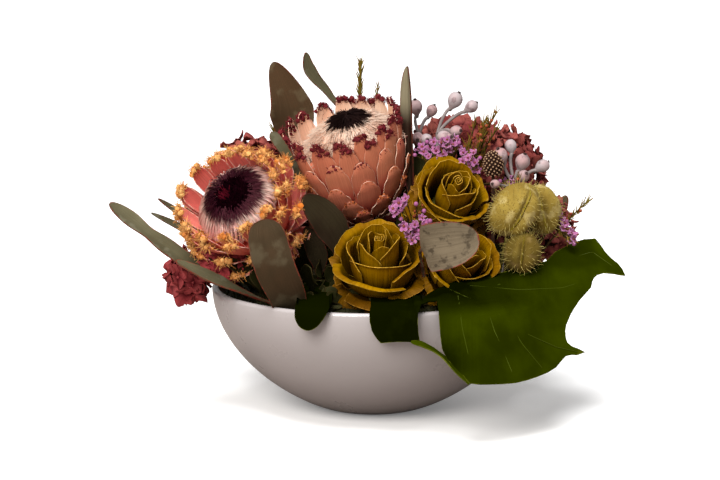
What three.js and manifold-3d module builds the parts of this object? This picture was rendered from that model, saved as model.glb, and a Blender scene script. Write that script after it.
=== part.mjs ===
// Table centrepiece: proteas, roses, hydrangea, gum nuts, wax flower, hairy pods, long
// leathery leaves and one cut-leaf blade, held by foam in a white glazed bowl.
// Millimetres, +Z up, the front faces -Y, and the origin is the middle of the bowl's foot.
import * as THREE from "three";
import { mergeVertices } from "three/addons/utils/BufferGeometryUtils.js";
import Module from "manifold-3d";

const wasm = await Module();
wasm.setup();
const { Manifold, Mesh: SolidMesh } = wasm;

// Driving dimensions
const GAP = 0.5; // clearance between neighbouring pieces
const WELD = 0.002; // edges shorter than this are closed up
const BOWL = { rim: 120, height: 92, foot: 36, wall: 5, sides: 32, rise: 2, fullness: 0.78 };
const LIP_TURNS = [0.25, 0.5, 0.75]; // points round the lip, as shares of a half turn
const FOAM = { edge: 84, edgeInset: 3, sides: 18, fit: 0.4, bottom: 8 };
const FOAM_DOME = [[92, 88], [62, 93], [30, 97], [0, 98]]; // radius, height
const STEM = { sides: 5, boreSides: 4, floor: 0.7, protea: 5, rose: 3, hydrangea: 2 };
const BRACT = { sunk: 3, thick: 1.1, fill: 0.92, taper: 0.55 };
const LEAF = { thick: 1.1, stalk: 1.5, start: 0.08, peak: 0.62, fold: 0.15, roundness: 2.4 };
const FLORET = { neck: 0.5, notch: 0.32, dish: 0.06, collar: 0.16, hydrangeaStalk: 9, core: 6 };
const BLADE = { thick: 1.2, reach: 78, tuck: 9, lobeTuck: 40, bend: 9 };
const POD = { pinch: 0.3, crease: 0.32, hair: 5.5, hairRadius: 0.9, stalk: 1.6 };
const COLOURS = {
  glaze: 0xe9e4e1,
  foam: 0x2c3420,
  salmon: 0xc9705a,
  wool: 0xe8d3c2,
  black: 0x14100f,
  coral: 0xa8483a,
  plum: 0x3a1420,
  styles: 0xc59a94,
  gold: 0x8c7412,
  sage: 0x6d6a58,
  deepLeaf: 0x1d3a10,
  burgundy: 0x7d2f33,
  nut: 0xb9aca8,
  pink: 0xb878b0,
  olive: 0x6b6420,
  pod: 0xb3a14c,
  bead: 0x5a4030,
};

const V = (x, y, z) => new THREE.Vector3(x, y, z);
const UP = V(0, 0, 1);
const GOLDEN = Math.PI * (3 - Math.sqrt(5));
const mix = THREE.MathUtils.lerp;
const smooth = THREE.MathUtils.smoothstep;

// Solids

/** A closed three.js geometry as a solid, with its doubled vertices merged. */
function solidOf(geometry) {
  const bare = geometry.index ? geometry.toNonIndexed() : geometry.clone();
  bare.deleteAttribute("normal");
  bare.deleteAttribute("uv");
  const merged = mergeVertices(bare, 1e-4);
  const index = merged.index.array;
  const kept = [];
  for (let i = 0; i < index.length; i += 3) {
    const [a, b, c] = index.slice(i, i + 3);
    if (a !== b && b !== c && a !== c) kept.push(a, b, c);
  }
  return new Manifold(
    new SolidMesh({
      numProp: 3,
      vertProperties: merged.attributes.position.array,
      triVerts: new Uint32Array(kept),
    }),
  );
}

/** A solid as a geometry with flat faces; the ends of very short edges are drawn together. */
function geometryOf(solid) {
  const { vertProperties, triVerts, numProp, numVert } = solid.getMesh();
  const at = (i) => V(...vertProperties.subarray(i * numProp, i * numProp + 3));
  const points = Array.from({ length: numVert }, (_, i) => at(i));
  const home = points.map((_, i) => i);
  const homeOf = (i) => (home[i] === i ? i : homeOf(home[i]));
  const corners = (i) => [...triVerts.subarray(i, i + 3)];
  for (let i = 0; i < triVerts.length; i += 3) {
    const [a, b, c] = corners(i);
    for (const [p, q] of [[a, b], [b, c], [c, a]])
      if (points[p].distanceTo(points[q]) < WELD) home[homeOf(q)] = homeOf(p);
  }
  const kept = new Map();
  for (let i = 0; i < triVerts.length; i += 3) {
    const face = corners(i).map(homeOf);
    if (new Set(face).size < 3) continue;
    const key = [...face].sort((p, q) => p - q).join();
    if (kept.has(key)) kept.delete(key);
    else kept.set(key, face);
  }
  const geometry = new THREE.BufferGeometry();
  geometry.setFromPoints([...kept.values()].flat().map((i) => points[i]));
  geometry.computeVertexNormals();
  return geometry;
}

/** The solid within the listed points and triangles. */
function solidFrom(points, triangles) {
  return new Manifold(
    new SolidMesh({
      numProp: 3,
      vertProperties: new Float32Array(points.flatMap((p) => [p.x, p.y, p.z])),
      triVerts: new Uint32Array(triangles.flat()),
    }),
  );
}

/** A solid of revolution about Z; the profile's points are [radius, height], from low to high. */
function lathe(profile, sides) {
  const points = profile.map(([r, z]) => new THREE.Vector2(r, z));
  return solidOf(new THREE.LatheGeometry(points, sides).rotateX(Math.PI / 2));
}

/** The largest body of a solid: loose scraps are dropped. */
function oneBody(solid) {
  const bodies = solid.decompose();
  return bodies.reduce((best, b) => (b.volume() > best.volume() ? b : best));
}

const fuse = (solids) => oneBody(Manifold.union(solids));

/** A closed sheet over the surface at(u, v); its thickness may change with u. */
function sheet(at, alongU, alongV, thicknessAt) {
  const step = 1e-3;
  const points = [];
  const triangles = [];
  const row = alongV + 1;
  for (let i = 0; i <= alongU; i++)
    for (let j = 0; j <= alongV; j++) {
      const [u, v] = [i / alongU, j / alongV];
      const du = at(Math.min(u + step, 1), v).sub(at(Math.max(u - step, 0), v));
      const dv = at(u, Math.min(v + step, 1)).sub(at(u, Math.max(v - step, 0)));
      const lift = du.cross(dv).normalize().multiplyScalar(thicknessAt(u) / 2);
      const p = at(u, v);
      points.push(p.clone().add(lift), p.clone().sub(lift));
    }
  const top = (i, j) => 2 * (i * row + j);
  const under = (i, j) => top(i, j) + 1;
  const quad = (a, b, c, d) => triangles.push([a, b, c], [a, c, d]);
  for (let i = 0; i < alongU; i++)
    for (let j = 0; j < alongV; j++) {
      quad(top(i, j), top(i + 1, j), top(i + 1, j + 1), top(i, j + 1));
      triangles.push([under(i, j), under(i + 1, j + 1), under(i + 1, j)]);
      triangles.push([under(i, j), under(i, j + 1), under(i + 1, j + 1)]);
    }
  for (let i = 0; i < alongU; i++) {
    quad(under(i, 0), under(i + 1, 0), top(i + 1, 0), top(i, 0));
    quad(top(i, alongV), top(i + 1, alongV), under(i + 1, alongV), under(i, alongV));
  }
  for (let j = 0; j < alongV; j++) {
    quad(top(0, j), top(0, j + 1), under(0, j + 1), under(0, j));
    quad(under(alongU, j), under(alongU, j + 1), top(alongU, j + 1), top(alongU, j));
  }
  return solidFrom(points, triangles);
}

/** The matrix that carries +Z to the axis and the origin to the base, turned by roll about the axis. */
function standing(base, axis, roll = 0) {
  const turn = new THREE.Quaternion().setFromUnitVectors(UP, axis.clone().normalize());
  turn.multiply(new THREE.Quaternion().setFromAxisAngle(UP, roll));
  return new THREE.Matrix4().compose(base, turn, V(1, 1, 1));
}

const moved = (solid, matrix) => solid.transform([...matrix.elements]);

/** A straight stalk between two points. */
function rod(from, to, startRadius, endRadius = startRadius, sides = STEM.sides) {
  const way = to.clone().sub(from);
  const stalk = new THREE.CylinderGeometry(endRadius, startRadius, way.length(), sides);
  stalk.rotateX(Math.PI / 2).translate(0, 0, way.length() / 2);
  return moved(solidOf(stalk), standing(from, way));
}

/** A three-sided needle or hair from a root to a point. */
function spike(root, tip, radius) {
  const way = tip.clone().sub(root).normalize();
  const side = V(way.z + 0.3, way.x, way.y + 0.1).cross(way).normalize();
  const other = way.clone().cross(side);
  const corner = (k) => {
    const a = (k * 2 * Math.PI) / 3;
    const out = side.clone().multiplyScalar(Math.cos(a)).addScaledVector(other, Math.sin(a));
    return root.clone().addScaledVector(out, radius);
  };
  const points = [corner(0), corner(1), corner(2), tip.clone()];
  return solidFrom(points, [[0, 2, 1], [0, 1, 3], [1, 2, 3], [2, 0, 3]]);
}

/** A ball or egg: radii [x, y, z] about a centre. */
function egg(centre, radii, sides = 6, rings = 4) {
  const profile = [];
  for (let k = 0; k <= rings; k++) {
    const a = (Math.PI * k) / rings - Math.PI / 2;
    const onAxis = k === 0 || k === rings;
    profile.push([onAxis ? 0 : Math.cos(a), Math.sin(a)]);
  }
  return lathe(profile, sides).scale(radii).translate([centre.x, centre.y, centre.z]);
}

/** Directions spread evenly over a sphere, where their height along +Z runs from low to high. */
function spread(count, low, high = 1) {
  return Array.from({ length: count }, (_, k) => {
    const z = mix(high, low, (k + 0.5) / count);
    const r = Math.sqrt(1 - z * z);
    const a = k * GOLDEN;
    return V(r * Math.cos(a), r * Math.sin(a), z);
  });
}

// Bowl and foam

/** The bowl's outer radius at a height. */
const bowlRadius = (z) =>
  BOWL.foot + (BOWL.rim - BOWL.foot) * (1 - (1 - z / BOWL.height) ** BOWL.rise) ** BOWL.fullness;

const OUTER_HEIGHTS = [0, 2, 7, 16, 30, 48, 68, 87];
const INNER_HEIGHTS = [86, 66, 46, 26, 10];

function bowl() {
  const lip = BOWL.wall / 2;
  const outer = OUTER_HEIGHTS.map((z) => [bowlRadius(z), z]);
  const rounded = LIP_TURNS.map((share) => {
    const a = share * Math.PI;
    return [BOWL.rim - lip + lip * Math.cos(a), BOWL.height - lip + lip * Math.sin(a)];
  });
  const inner = INNER_HEIGHTS.map((z) => [bowlRadius(z) - BOWL.wall, z]);
  return lathe([[0, 0], ...outer, ...rounded, ...inner, [0, BOWL.wall + 2]], BOWL.sides);
}

/** The foam fills the bowl and is carved to a low dome above it; each stem has its own hole. */
function foam(bores) {
  const inside = (z) => bowlRadius(z) - BOWL.wall;
  const heights = [...INNER_HEIGHTS].reverse().filter((z) => z < FOAM.edge);
  const wall = heights.map((z) => [inside(z) - FOAM.fit, z + FOAM.fit]);
  const edge = [inside(FOAM.edge) - FOAM.edgeInset, FOAM.edge];
  const body = lathe([[0, FOAM.bottom], ...wall, edge, ...FOAM_DOME], FOAM.sides);
  return oneBody(body.subtract(Manifold.union(bores)));
}

// Flower heads

/** A protea's outer radius at a height above its base. */
const gobletRadius = (p, z) => p.radius * (1 - Math.exp(-(z + 5) / p.waist));

/** One bract: a blade that follows the goblet from a sunk root to a free, thick and woolly tip. */
function bract(p, row, angle) {
  const at = (u, v) => {
    const z = mix(row.from, row.to, u);
    const across = 2 * v - 1;
    const r = gobletRadius(p, z) + mix(-BRACT.sunk, row.out, u ** 0.7);
    const blunt = 1 - BRACT.taper * smooth(u, 0.66, 1);
    const half = Math.min(row.width / 2, (BRACT.fill * Math.PI * r) / row.count) * blunt;
    const a = angle + (across * half) / r;
    return V(r * Math.cos(a), r * Math.sin(a), z);
  };
  return sheet(at, 3, 1, (u) => BRACT.thick + row.wool * smooth(u, 0.6, 1));
}

/** The goblet of bracts, row above row, on its short solid body and stem. */
function proteaBracts(p) {
  const seat = p.seat - GAP;
  const heights = [0, 0.2, 0.5, 1].map((t) => t * seat);
  const body = [[0, -4], [6, -4], ...heights.map((z) => [gobletRadius(p, z) - 2.5, z]), [0, seat]];
  const pieces = [lathe(body, 14)];
  for (const row of p.rows)
    for (let k = 0; k < row.count; k++) {
      const angle = ((k + row.shift) * 2 * Math.PI) / row.count;
      pieces.push(bract(p, row, angle));
    }
  return fuse(pieces);
}

/** The dome of styles that fills the goblet, with hairs standing out of it. */
function proteaStyles(p) {
  const { radius, top, hollow } = p.styles;
  const profile = [
    [0, p.seat],
    [radius - 6, p.seat],
    [radius, mix(p.seat, top, 0.45)],
    [radius * 0.86, mix(p.seat, top, 0.85)],
    [hollow.radius + GAP, top],
    [hollow.radius + GAP, top - hollow.depth],
    [0, top - hollow.depth],
  ];
  const hairs = [];
  for (const [count, share, rise] of [[9, 0.9, 5], [6, 0.7, 6]])
    for (let k = 0; k < count; k++) {
      const a = ((k + share) * 2 * Math.PI) / count;
      const r = radius * share;
      const root = V((r - 2) * Math.cos(a), (r - 2) * Math.sin(a), mix(p.seat, top, 0.6));
      hairs.push(spike(root, V(r * Math.cos(a), r * Math.sin(a), top + rise * 0.4), 1.6));
    }
  return fuse([lathe(profile, 14), ...hairs]);
}

/** The dark middle of a protea: a low cone bristling with style tips. */
function proteaCrown(p) {
  const { top, hollow } = p.styles;
  const low = top - hollow.depth + GAP;
  const { height, reach } = p.crown;
  const profile = [
    [0, low],
    [hollow.radius - 0.5, low],
    [hollow.radius - 0.5, top + 0.3],
    [hollow.radius * 0.9, top + height * 0.5],
    [hollow.radius * 0.5, top + height],
    [0, top + height * 0.8],
  ];
  const bristles = spread(13, 0.12, 0.85).map((d) => {
    const root = V(d.x * hollow.radius * 0.8, d.y * hollow.radius * 0.8, top + d.z * height * 0.7);
    return spike(root, root.clone().addScaledVector(d, reach + 3), 1.3);
  });
  return fuse([lathe(profile, 12), ...bristles]);
}

/** One rose petal: a cupped blade whose rim rolls outwards. */
function petal(layer, angle) {
  const at = (u, v) => {
    const t = mix(0.12, 1, u);
    const across = 2 * v - 1;
    const cup = 0.2 + 0.8 * Math.sin((Math.PI / 2) * Math.min(1, 1.25 * t));
    const roll = layer.flare * smooth(t, 0.65, 1) ** 2;
    const r = layer.radius * cup + roll + layer.spiral * across;
    const a = angle + across * layer.half;
    const droop = 1 - 0.16 * across * across * t - layer.drop * smooth(t, 0.8, 1);
    return V(r * Math.cos(a), r * Math.sin(a), layer.height * t * droop);
  };
  return sheet(at, 3, 2, () => 1);
}

/** A rose: a rolled bud inside layers of petals, on a rounded base. */
function rose(size) {
  const layers = [
    { count: 2, radius: 0.32, height: 1, half: 0.97, flare: 0.03, spiral: 0.8, drop: 0, turn: 0.3 },
    { count: 3, radius: 0.58, height: 0.95, half: 0.97, flare: 0.06, spiral: 0.8, drop: 0, turn: 1.4 },
    { count: 5, radius: 0.82, height: 0.86, half: 0.58, flare: 0.18, spiral: 0.8, drop: 0.05, turn: 0.5 },
  ];
  const height = size * 1.45;
  const base = [[0, -3], [4, -3], [size * 0.42, 4], [size * 0.5, height * 0.22], [0, height * 0.25]];
  const bud = [
    [0, height * 0.1],
    [size * 0.16, height * 0.2],
    [size * 0.17, height * 0.7],
    [size * 0.1, height * 0.94],
    [0, height * 0.96],
  ];
  const petals = layers.flatMap((layer) =>
    Array.from({ length: layer.count }, (_, k) => {
      const sized = {
        ...layer,
        radius: layer.radius * size,
        height: layer.height * height,
        flare: layer.flare * size,
      };
      return petal(sized, layer.turn + (k * 2 * Math.PI) / layer.count);
    }),
  );
  return fuse([lathe(base, 10), lathe(bud, 6), ...petals]);
}

/** A floret: wide petals with notches between them, on a three-sided stalk of the given depth. */
function floret(centre, axis, size, petals, depth, roll) {
  const dish = size * FLORET.dish;
  const points = [V(0, 0, -depth), V(0, 0, -dish)];
  for (let k = 0; k < 3; k++) {
    const a = (k * 2 * Math.PI) / 3;
    points.push(V(FLORET.neck * Math.cos(a), FLORET.neck * Math.sin(a), -size * FLORET.collar));
  }
  const ring = petals * 2;
  for (let k = 0; k < ring; k++) {
    const a = (k * 2 * Math.PI) / ring;
    const r = size * (k % 2 ? FLORET.notch : 0.5);
    points.push(V(r * Math.cos(a), r * Math.sin(a), k % 2 ? -dish / 2 : dish));
  }
  const faces = [[0, 3, 2], [0, 4, 3], [0, 2, 4]];
  const nearest = (k) => 2 + (Math.round((3 * k) / ring) % 3);
  for (let k = 0; k < ring; k++) {
    const [a, b] = [5 + k, 5 + ((k + 1) % ring)];
    const [from, to] = [nearest(k), nearest(k + 1)];
    faces.push([1, a, b], [from, b, a]);
    if (from !== to) faces.push([from, to, b]);
  }
  return moved(solidFrom(points, faces), standing(centre, axis, roll));
}

/** The solid middle of a hydrangea head. */
const hydrangeaCore = (h) => egg(h.centre, h.radii.map((r) => r - FLORET.core), 9, 5);

/** A hydrangea head: florets over its smaller core, each only where it has room. */
function hydrangea(h, core, room) {
  const florets = spread(h.count, h.low ?? -0.6, 1).flatMap((d, k) => {
    const out = V(d.x / h.radii[0], d.y / h.radii[1], d.z / h.radii[2]).normalize();
    const place = V(d.x * h.radii[0], d.y * h.radii[1], d.z * h.radii[2]).add(h.centre);
    const made = floret(place, out, h.size, 4, FLORET.hydrangeaStalk, k * GOLDEN);
    return room(made) ? [made] : [];
  });
  return fuse([core, ...florets]);
}

// Leaves

/** A long leaf's half width along its length: a stalk, a broad middle and a round tip. */
function leafShape(t, peak) {
  if (t < peak) return smooth(t, LEAF.start, peak);
  const x = (t - peak) / (1 - peak);
  return Math.sqrt(1 - x ** LEAF.roundness);
}

const leafLine = (l) => new THREE.CubicBezierCurve3(l.base, l.bend, l.over ?? l.bend, l.tip);

/** A long leaf along a bent line; face is the side that its upper surface looks to. */
function leaf(l) {
  const line = leafLine(l);
  const at = (u, v) => {
    const t = 1 - (1 - u) ** 1.5;
    const across = 2 * v - 1;
    const along = line.getTangent(t);
    const side = along.clone().cross(l.face).normalize();
    const normal = side.clone().cross(along);
    const half = Math.max(LEAF.stalk, (l.width / 2) * leafShape(t, l.peak ?? LEAF.peak));
    const fold = LEAF.fold * half * Math.abs(across);
    return line.getPoint(t).addScaledVector(side, across * half).addScaledVector(normal, fold);
  };
  return sheet(at, 5, 2, () => LEAF.thick);
}

// The cut-leaf blade that hangs over the bowl's front rim

/** The stalk runs back from the crest that the blade hangs over. */
const PETIOLE = { from: V(88, -91, 106), foot: V(68, -64, 80), radius: 2.4 };
const CREST = new THREE.CatmullRomCurve3([
  V(-60, -117, 95.5),
  V(-15, -121.5, 95.5),
  V(35, -121, 97),
  V(75, -104, 101),
  V(118, -74, 107),
  V(165, -45, 108),
  V(192, -26, 100),
]);

/** The blade's mid surface: b runs back into the flowers below 0 and hangs forward above 0. */
function hangingBlade(u, b) {
  const crest = CREST.getPoint(u);
  const free = smooth(crest.x, 25, 75);
  const hang = V(0, mix(-0.08, -0.52, free), mix(-1, -0.85, free)).normalize();
  const back = V(0, 1, mix(-0.03, 0.42, free)).normalize();
  const rounded = Math.sqrt(b * b + BLADE.bend ** 2) - BLADE.bend;
  const forward = (rounded + b) / 2;
  const inward = (rounded - b) / 2;
  return crest.addScaledVector(hang, forward).addScaledVector(back, inward);
}

/** The blade's outline as seen from the front, X and Z, with its fingers, slot and hooked tips. */
function bladeOutline() {
  const s = new THREE.Shape();
  s.moveTo(-53, 118);
  s.lineTo(-53, 93);
  s.bezierCurveTo(-53, 78, -30, 78, -28, 93);
  s.lineTo(-26, 97);
  s.quadraticCurveTo(-21, 88, -16, 97);
  s.lineTo(-3, 97);
  s.bezierCurveTo(-3, 84, 0, 74, 9, 73);
  s.quadraticCurveTo(24, 77, 35, 71);
  s.quadraticCurveTo(52, 58, 65, 46);
  s.bezierCurveTo(84, 40, 118, 46, 133, 57);
  s.lineTo(147, 60);
  s.quadraticCurveTo(134, 63, 133, 72);
  s.bezierCurveTo(131, 80, 142, 92, 154, 104);
  s.lineTo(185, 103);
  s.quadraticCurveTo(172, 118, 163, 128);
  s.bezierCurveTo(150, 128, 130, 122, 110, 118);
  s.closePath();
  const slot = new THREE.Path();
  slot.moveTo(33, 101);
  slot.bezierCurveTo(28, 96, 30, 84, 35, 77);
  slot.quadraticCurveTo(42, 68, 47, 66);
  slot.bezierCurveTo(44, 78, 42, 92, 43, 101);
  slot.closePath();
  s.holes.push(slot);
  return s;
}

function cutLeaf() {
  const tuck = (u) => BLADE.tuck + BLADE.lobeTuck * smooth(u, 0.74, 0.9);
  const surface = (u, v) => hangingBlade(u, mix(-tuck(u), BLADE.reach, v));
  const blade = sheet(surface, 12, 7, () => BLADE.thick);
  const cutter = new THREE.ExtrudeGeometry(bladeOutline(), {
    depth: 2 * BOWL.rim,
    bevelEnabled: false,
    curveSegments: 5,
  });
  cutter.rotateX(Math.PI / 2).translate(0, BOWL.rim / 2, 0);
  const petiole = rod(PETIOLE.from, PETIOLE.foot, PETIOLE.radius);
  return fuse([oneBody(blade.intersect(solidOf(cutter))), petiole]);
}

// Sprays

/** Gum nuts on forking stalks: each nut narrows into its stalk and ends in a small beak. */
function gumNuts(spray) {
  const pieces = [rod(spray.foot, spray.fork, 1.9, 1.5)];
  for (const nut of spray.nuts) {
    const from = nut.from ?? spray.fork;
    const way = nut.at.clone().sub(from).normalize();
    const outline = [[0, -1.3], [0.75, -0.7], [1, 0], [0.62, 0.85], [0.2, 1.05], [0, 1.6]];
    const shape = lathe(outline.map(([r, z]) => [r * nut.r, z * nut.r]), 6);
    pieces.push(rod(from, nut.at, 1.3, 1.6, 4), moved(shape, standing(nut.at, way)));
  }
  return fuse(pieces);
}

/** Wax flower: small five-petalled flowers in a loose cluster on a branching stalk. */
function waxFlower(spray, room) {
  const via = spray.via ?? spray.foot.clone().lerp(spray.centre, 0.6);
  const knots = [via, spray.centre].map((p) => egg(p, [2, 2, 2], 4, 2));
  const pieces = [rod(spray.foot, via, 1.2, 1.2, 4), rod(via, spray.centre, 1.2, 1.2, 4), ...knots];
  spread(spray.count, spray.low ?? -0.2).forEach((d, k) => {
    const reach = V(d.x * spray.radii[0], d.y * spray.radii[1], d.z * spray.radii[2]);
    const place = spray.centre.clone().add(reach);
    const made = floret(place, reach, spray.size, 5, reach.length() + 0.5, k);
    if (room(made)) pieces.push(made);
  });
  return fuse(pieces);
}

/** A leafy twig: needles set round a stalk, pointing along it. */
function needleTwig(twig, room) {
  const way = twig.tip.clone().sub(twig.foot);
  const axis = way.clone().normalize();
  const pieces = [rod(twig.foot, twig.tip, 1.2, 1, 4)];
  for (let k = 0; k < twig.count; k++) {
    const t = mix(twig.from, 1, k / twig.count);
    const out = V(Math.cos(k * GOLDEN), Math.sin(k * GOLDEN), 0).applyMatrix4(
      standing(V(0, 0, 0), axis),
    );
    const root = twig.foot.clone().addScaledVector(way, t);
    const tip = root.clone().addScaledVector(axis, twig.length).addScaledVector(out, twig.splay);
    const made = spike(root, tip, 0.6);
    if (room(made)) pieces.push(made);
  }
  return fuse(pieces);
}

/** A hairy balloon pod: an egg pinched along one seam, with hairs all over. */
function pod(p, room) {
  const [sides, rings] = [10, 6];
  const [rx, ry, rz] = p.radii;
  const points = [V(0, 0, -rz)];
  const surface = (longitude, a) => {
    const pinch = 1 - POD.pinch * Math.exp(-((longitude / POD.crease) ** 2)) * Math.sin(a);
    const r = Math.sin(a) * pinch;
    return V(r * Math.cos(longitude) * rx, r * Math.sin(longitude) * ry, -Math.cos(a) * rz);
  };
  for (let i = 1; i < rings; i++)
    for (let k = 0; k < sides; k++)
      points.push(surface((k / sides) * 2 * Math.PI - Math.PI, (i * Math.PI) / rings));
  points.push(V(0, 0, rz));
  const ring = (i, k) => 1 + (i - 1) * sides + ((k + sides) % sides);
  const last = points.length - 1;
  const faces = [];
  for (let k = 0; k < sides; k++) {
    faces.push([0, ring(1, k + 1), ring(1, k)], [last, ring(rings - 1, k), ring(rings - 1, k + 1)]);
    for (let i = 1; i < rings - 1; i++) {
      faces.push([ring(i, k), ring(i, k + 1), ring(i + 1, k + 1)]);
      faces.push([ring(i, k), ring(i + 1, k + 1), ring(i + 1, k)]);
    }
  }
  const stand = standing(p.centre, p.axis, p.roll);
  const body = moved(solidFrom(points, faces), stand);
  const hairs = spread(p.hairs, -0.95, 0.95).flatMap((d) => {
    const a = Math.acos(-d.z);
    const root = surface(Math.atan2(d.y, d.x), a);
    const tip = root.clone().addScaledVector(root.clone().normalize(), POD.hair);
    root.multiplyScalar(0.93);
    const made = spike(root.applyMatrix4(stand), tip.applyMatrix4(stand), POD.hairRadius);
    return room(made) ? [made] : [];
  });
  const stalk = rod(p.foot, p.centre, POD.stalk);
  return fuse([body, stalk, ...hairs]);
}

/** A seed head: beads in spiral rows over an egg-shaped core, on a stalk. */
function seedHead(s, room) {
  const pieces = [egg(s.centre, s.radii.map((r) => r - 1), 7, 4), rod(s.foot, s.centre, 1.4, 1.4, 4)];
  for (const d of spread(s.count, -0.75, 1)) {
    const place = V(d.x * s.radii[0], d.y * s.radii[1], d.z * s.radii[2]).add(s.centre);
    const made = egg(place, [2, 2, 2], 4, 2);
    if (room(made)) pieces.push(made);
  }
  return fuse(pieces);
}

// The arrangement

const PROTEAS = {
  top: {
    base: V(-6, 20, 136),
    axis: V(-0.22, -0.31, 0.925),
    radius: 45,
    waist: 19,
    seat: 46,
    foot: V(-2, 22, 78),
    styles: { radius: 34, top: 72, hollow: { radius: 14, depth: 5 } },
    crown: { height: 5, reach: 4 },
    rows: [
      { count: 7, shift: 0.2, from: 2, to: 20, width: 15, out: 3, wool: 0.4 },
      { count: 9, shift: 0.6, from: 14, to: 37, width: 18, out: 3, wool: 0.6 },
      { count: 11, shift: 0.1, from: 28, to: 58, width: 18, out: 3, wool: 2 },
      { count: 13, shift: 0.5, from: 38, to: 82, width: 18, out: 1, wool: 3 },
    ],
  },
  left: {
    base: V(-78, -15, 129),
    axis: V(-0.37, -0.7, 0.61),
    radius: 41,
    waist: 20,
    seat: 40,
    foot: V(-58, 2, 76),
    styles: { radius: 32, top: 60, hollow: { radius: 21, depth: 5 } },
    crown: { height: 7, reach: 4 },
    rows: [
      { count: 7, shift: 0.2, from: 2, to: 20, width: 15, out: 6, wool: 1 },
      { count: 9, shift: 0.6, from: 13, to: 38, width: 17, out: 8, wool: 2 },
      { count: 11, shift: 0.1, from: 25, to: 55, width: 17, out: 9, wool: 3 },
      { count: 13, shift: 0.5, from: 33, to: 69, width: 16, out: 2, wool: 3 },
    ],
  },
};

const ROSES = {
  front: { base: V(1, -68, 102), axis: V(0, -0.46, 0.888), size: 31, roll: 0.4, foot: V(1, -50, 68) },
  top: { base: V(54, -22, 148), axis: V(0.05, -0.7, 0.71), size: 28, roll: 1.6, foot: V(44, -8, 76) },
  right: { base: V(57, -62, 106), axis: V(0.3, -0.66, 0.69), size: 26, roll: 2.9, foot: V(48, -50, 70) },
};

const LEAVES = {
  back_broad: {
    base: V(-42, 46, 84), bend: V(-42, 52, 190), tip: V(-75, 42, 256), width: 34, face: V(0.1, -1, 0),
  },
  back_narrow: {
    base: V(-16, 50, 84), bend: V(-20, 63, 190), tip: V(-54, 56, 264), width: 17, face: V(0.2, -1, 0.1),
  },
  beside_right: {
    base: V(32, 8, 84), bend: V(40, 8, 190), tip: V(24, 6, 254), width: 17, face: V(0.8, -0.8, 0),
  },
  beside_left: {
    base: V(-44, -18, 84), bend: V(-42, -20, 160), over: V(-54, -30, 182), tip: V(-74, -31, 208),
    width: 8, peak: 0.93, face: V(0.3, -1, 0),
  },
  long_left: {
    base: V(-70, -42, 84), bend: V(-110, -62, 99), tip: V(-190, -42, 157), width: 18,
    face: V(-0.2, -0.5, 1),
  },
  low_left: {
    base: V(-62, -56, 84), bend: V(-98, -76, 101), tip: V(-140, -72, 122), width: 13,
    face: V(-0.2, -0.5, 1),
  },
  front_broad: {
    base: V(-54, -80, 82), bend: V(-62, -112, 116), tip: V(-80, -107, 158), width: 37, peak: 0.5,
    face: V(0, -1, 0.1),
  },
  middle_dark: {
    base: V(-18, -46, 84), bend: V(-22, -56, 140), tip: V(-47, -62, 166), width: 28,
    face: V(0.1, -1, 0.2),
  },
  middle_low: {
    base: V(-40, -36, 84), bend: V(-38, -42, 118), tip: V(-49, -44, 141), width: 15, face: V(0, -1, 0.1),
  },
  pointing_right: {
    base: V(38, -60, 84), bend: V(36, -90, 100), over: V(32, -138, 140), tip: V(70, -124, 142),
    width: 33, peak: 0.8, face: V(0, -1, 0.1),
  },
  small_left: {
    base: V(-84, 18, 84), bend: V(-124, 4, 124), tip: V(-166, -8, 144), width: 8,
    face: V(-0.2, -0.8, 0.6),
  },
  small_left_upper: {
    base: V(-80, 28, 84), bend: V(-124, 18, 128), tip: V(-162, 4, 152), width: 8,
    face: V(-0.2, -0.8, 0.6),
  },
  behind_left: {
    base: V(-36, 92, 84), bend: V(-42, 117, 112), tip: V(-58, 126, 166), width: 28, face: V(-0.2, 1, 0.2),
  },
  behind_middle: {
    base: V(2, 100, 82), bend: V(2, 126, 106), tip: V(8, 130, 172), width: 30, face: V(0, 1, 0.2),
  },
  behind_right: {
    base: V(38, 92, 84), bend: V(44, 118, 110), tip: V(58, 128, 160), width: 26, face: V(0.2, 1, 0.2),
  },
  side_left: {
    base: V(-90, 42, 84), bend: V(-118, 54, 110), tip: V(-144, 62, 152), width: 24, face: V(-1, 0.6, 0.3),
  },
  side_right: {
    base: V(92, 38, 84), bend: V(124, 50, 110), tip: V(150, 58, 150), width: 24, face: V(1, 0.6, 0.3),
  },
};

const HYDRANGEAS = {
  low_left: {
    centre: V(-138, -28, 101), radii: [15, 15, 16], count: 9, size: 19, low: -1,
    foot: V(-88, -26, 80), via: V(-103, -27, 100),
  },
  back_left: { centre: V(-92, 26, 170), radii: [32, 32, 32], count: 16, size: 23, foot: V(-72, 26, 76) },
  back_right: { centre: V(100, 36, 170), radii: [42, 36, 44], count: 24, size: 26, foot: V(64, 26, 76) },
  side_right: { centre: V(131, 3, 130), radii: [23, 20, 30], count: 12, size: 22, foot: V(84, 4, 76) },
  back_middle: { centre: V(6, 86, 134), radii: [40, 30, 40], count: 12, size: 30, foot: V(2, 62, 76) },
  back_far_left: {
    centre: V(-72, 74, 130), radii: [38, 34, 38], count: 11, size: 30, foot: V(-52, 54, 76),
  },
  back_far_right: {
    centre: V(78, 82, 124), radii: [38, 34, 34], count: 11, size: 30, foot: V(50, 58, 76),
  },
};

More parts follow.
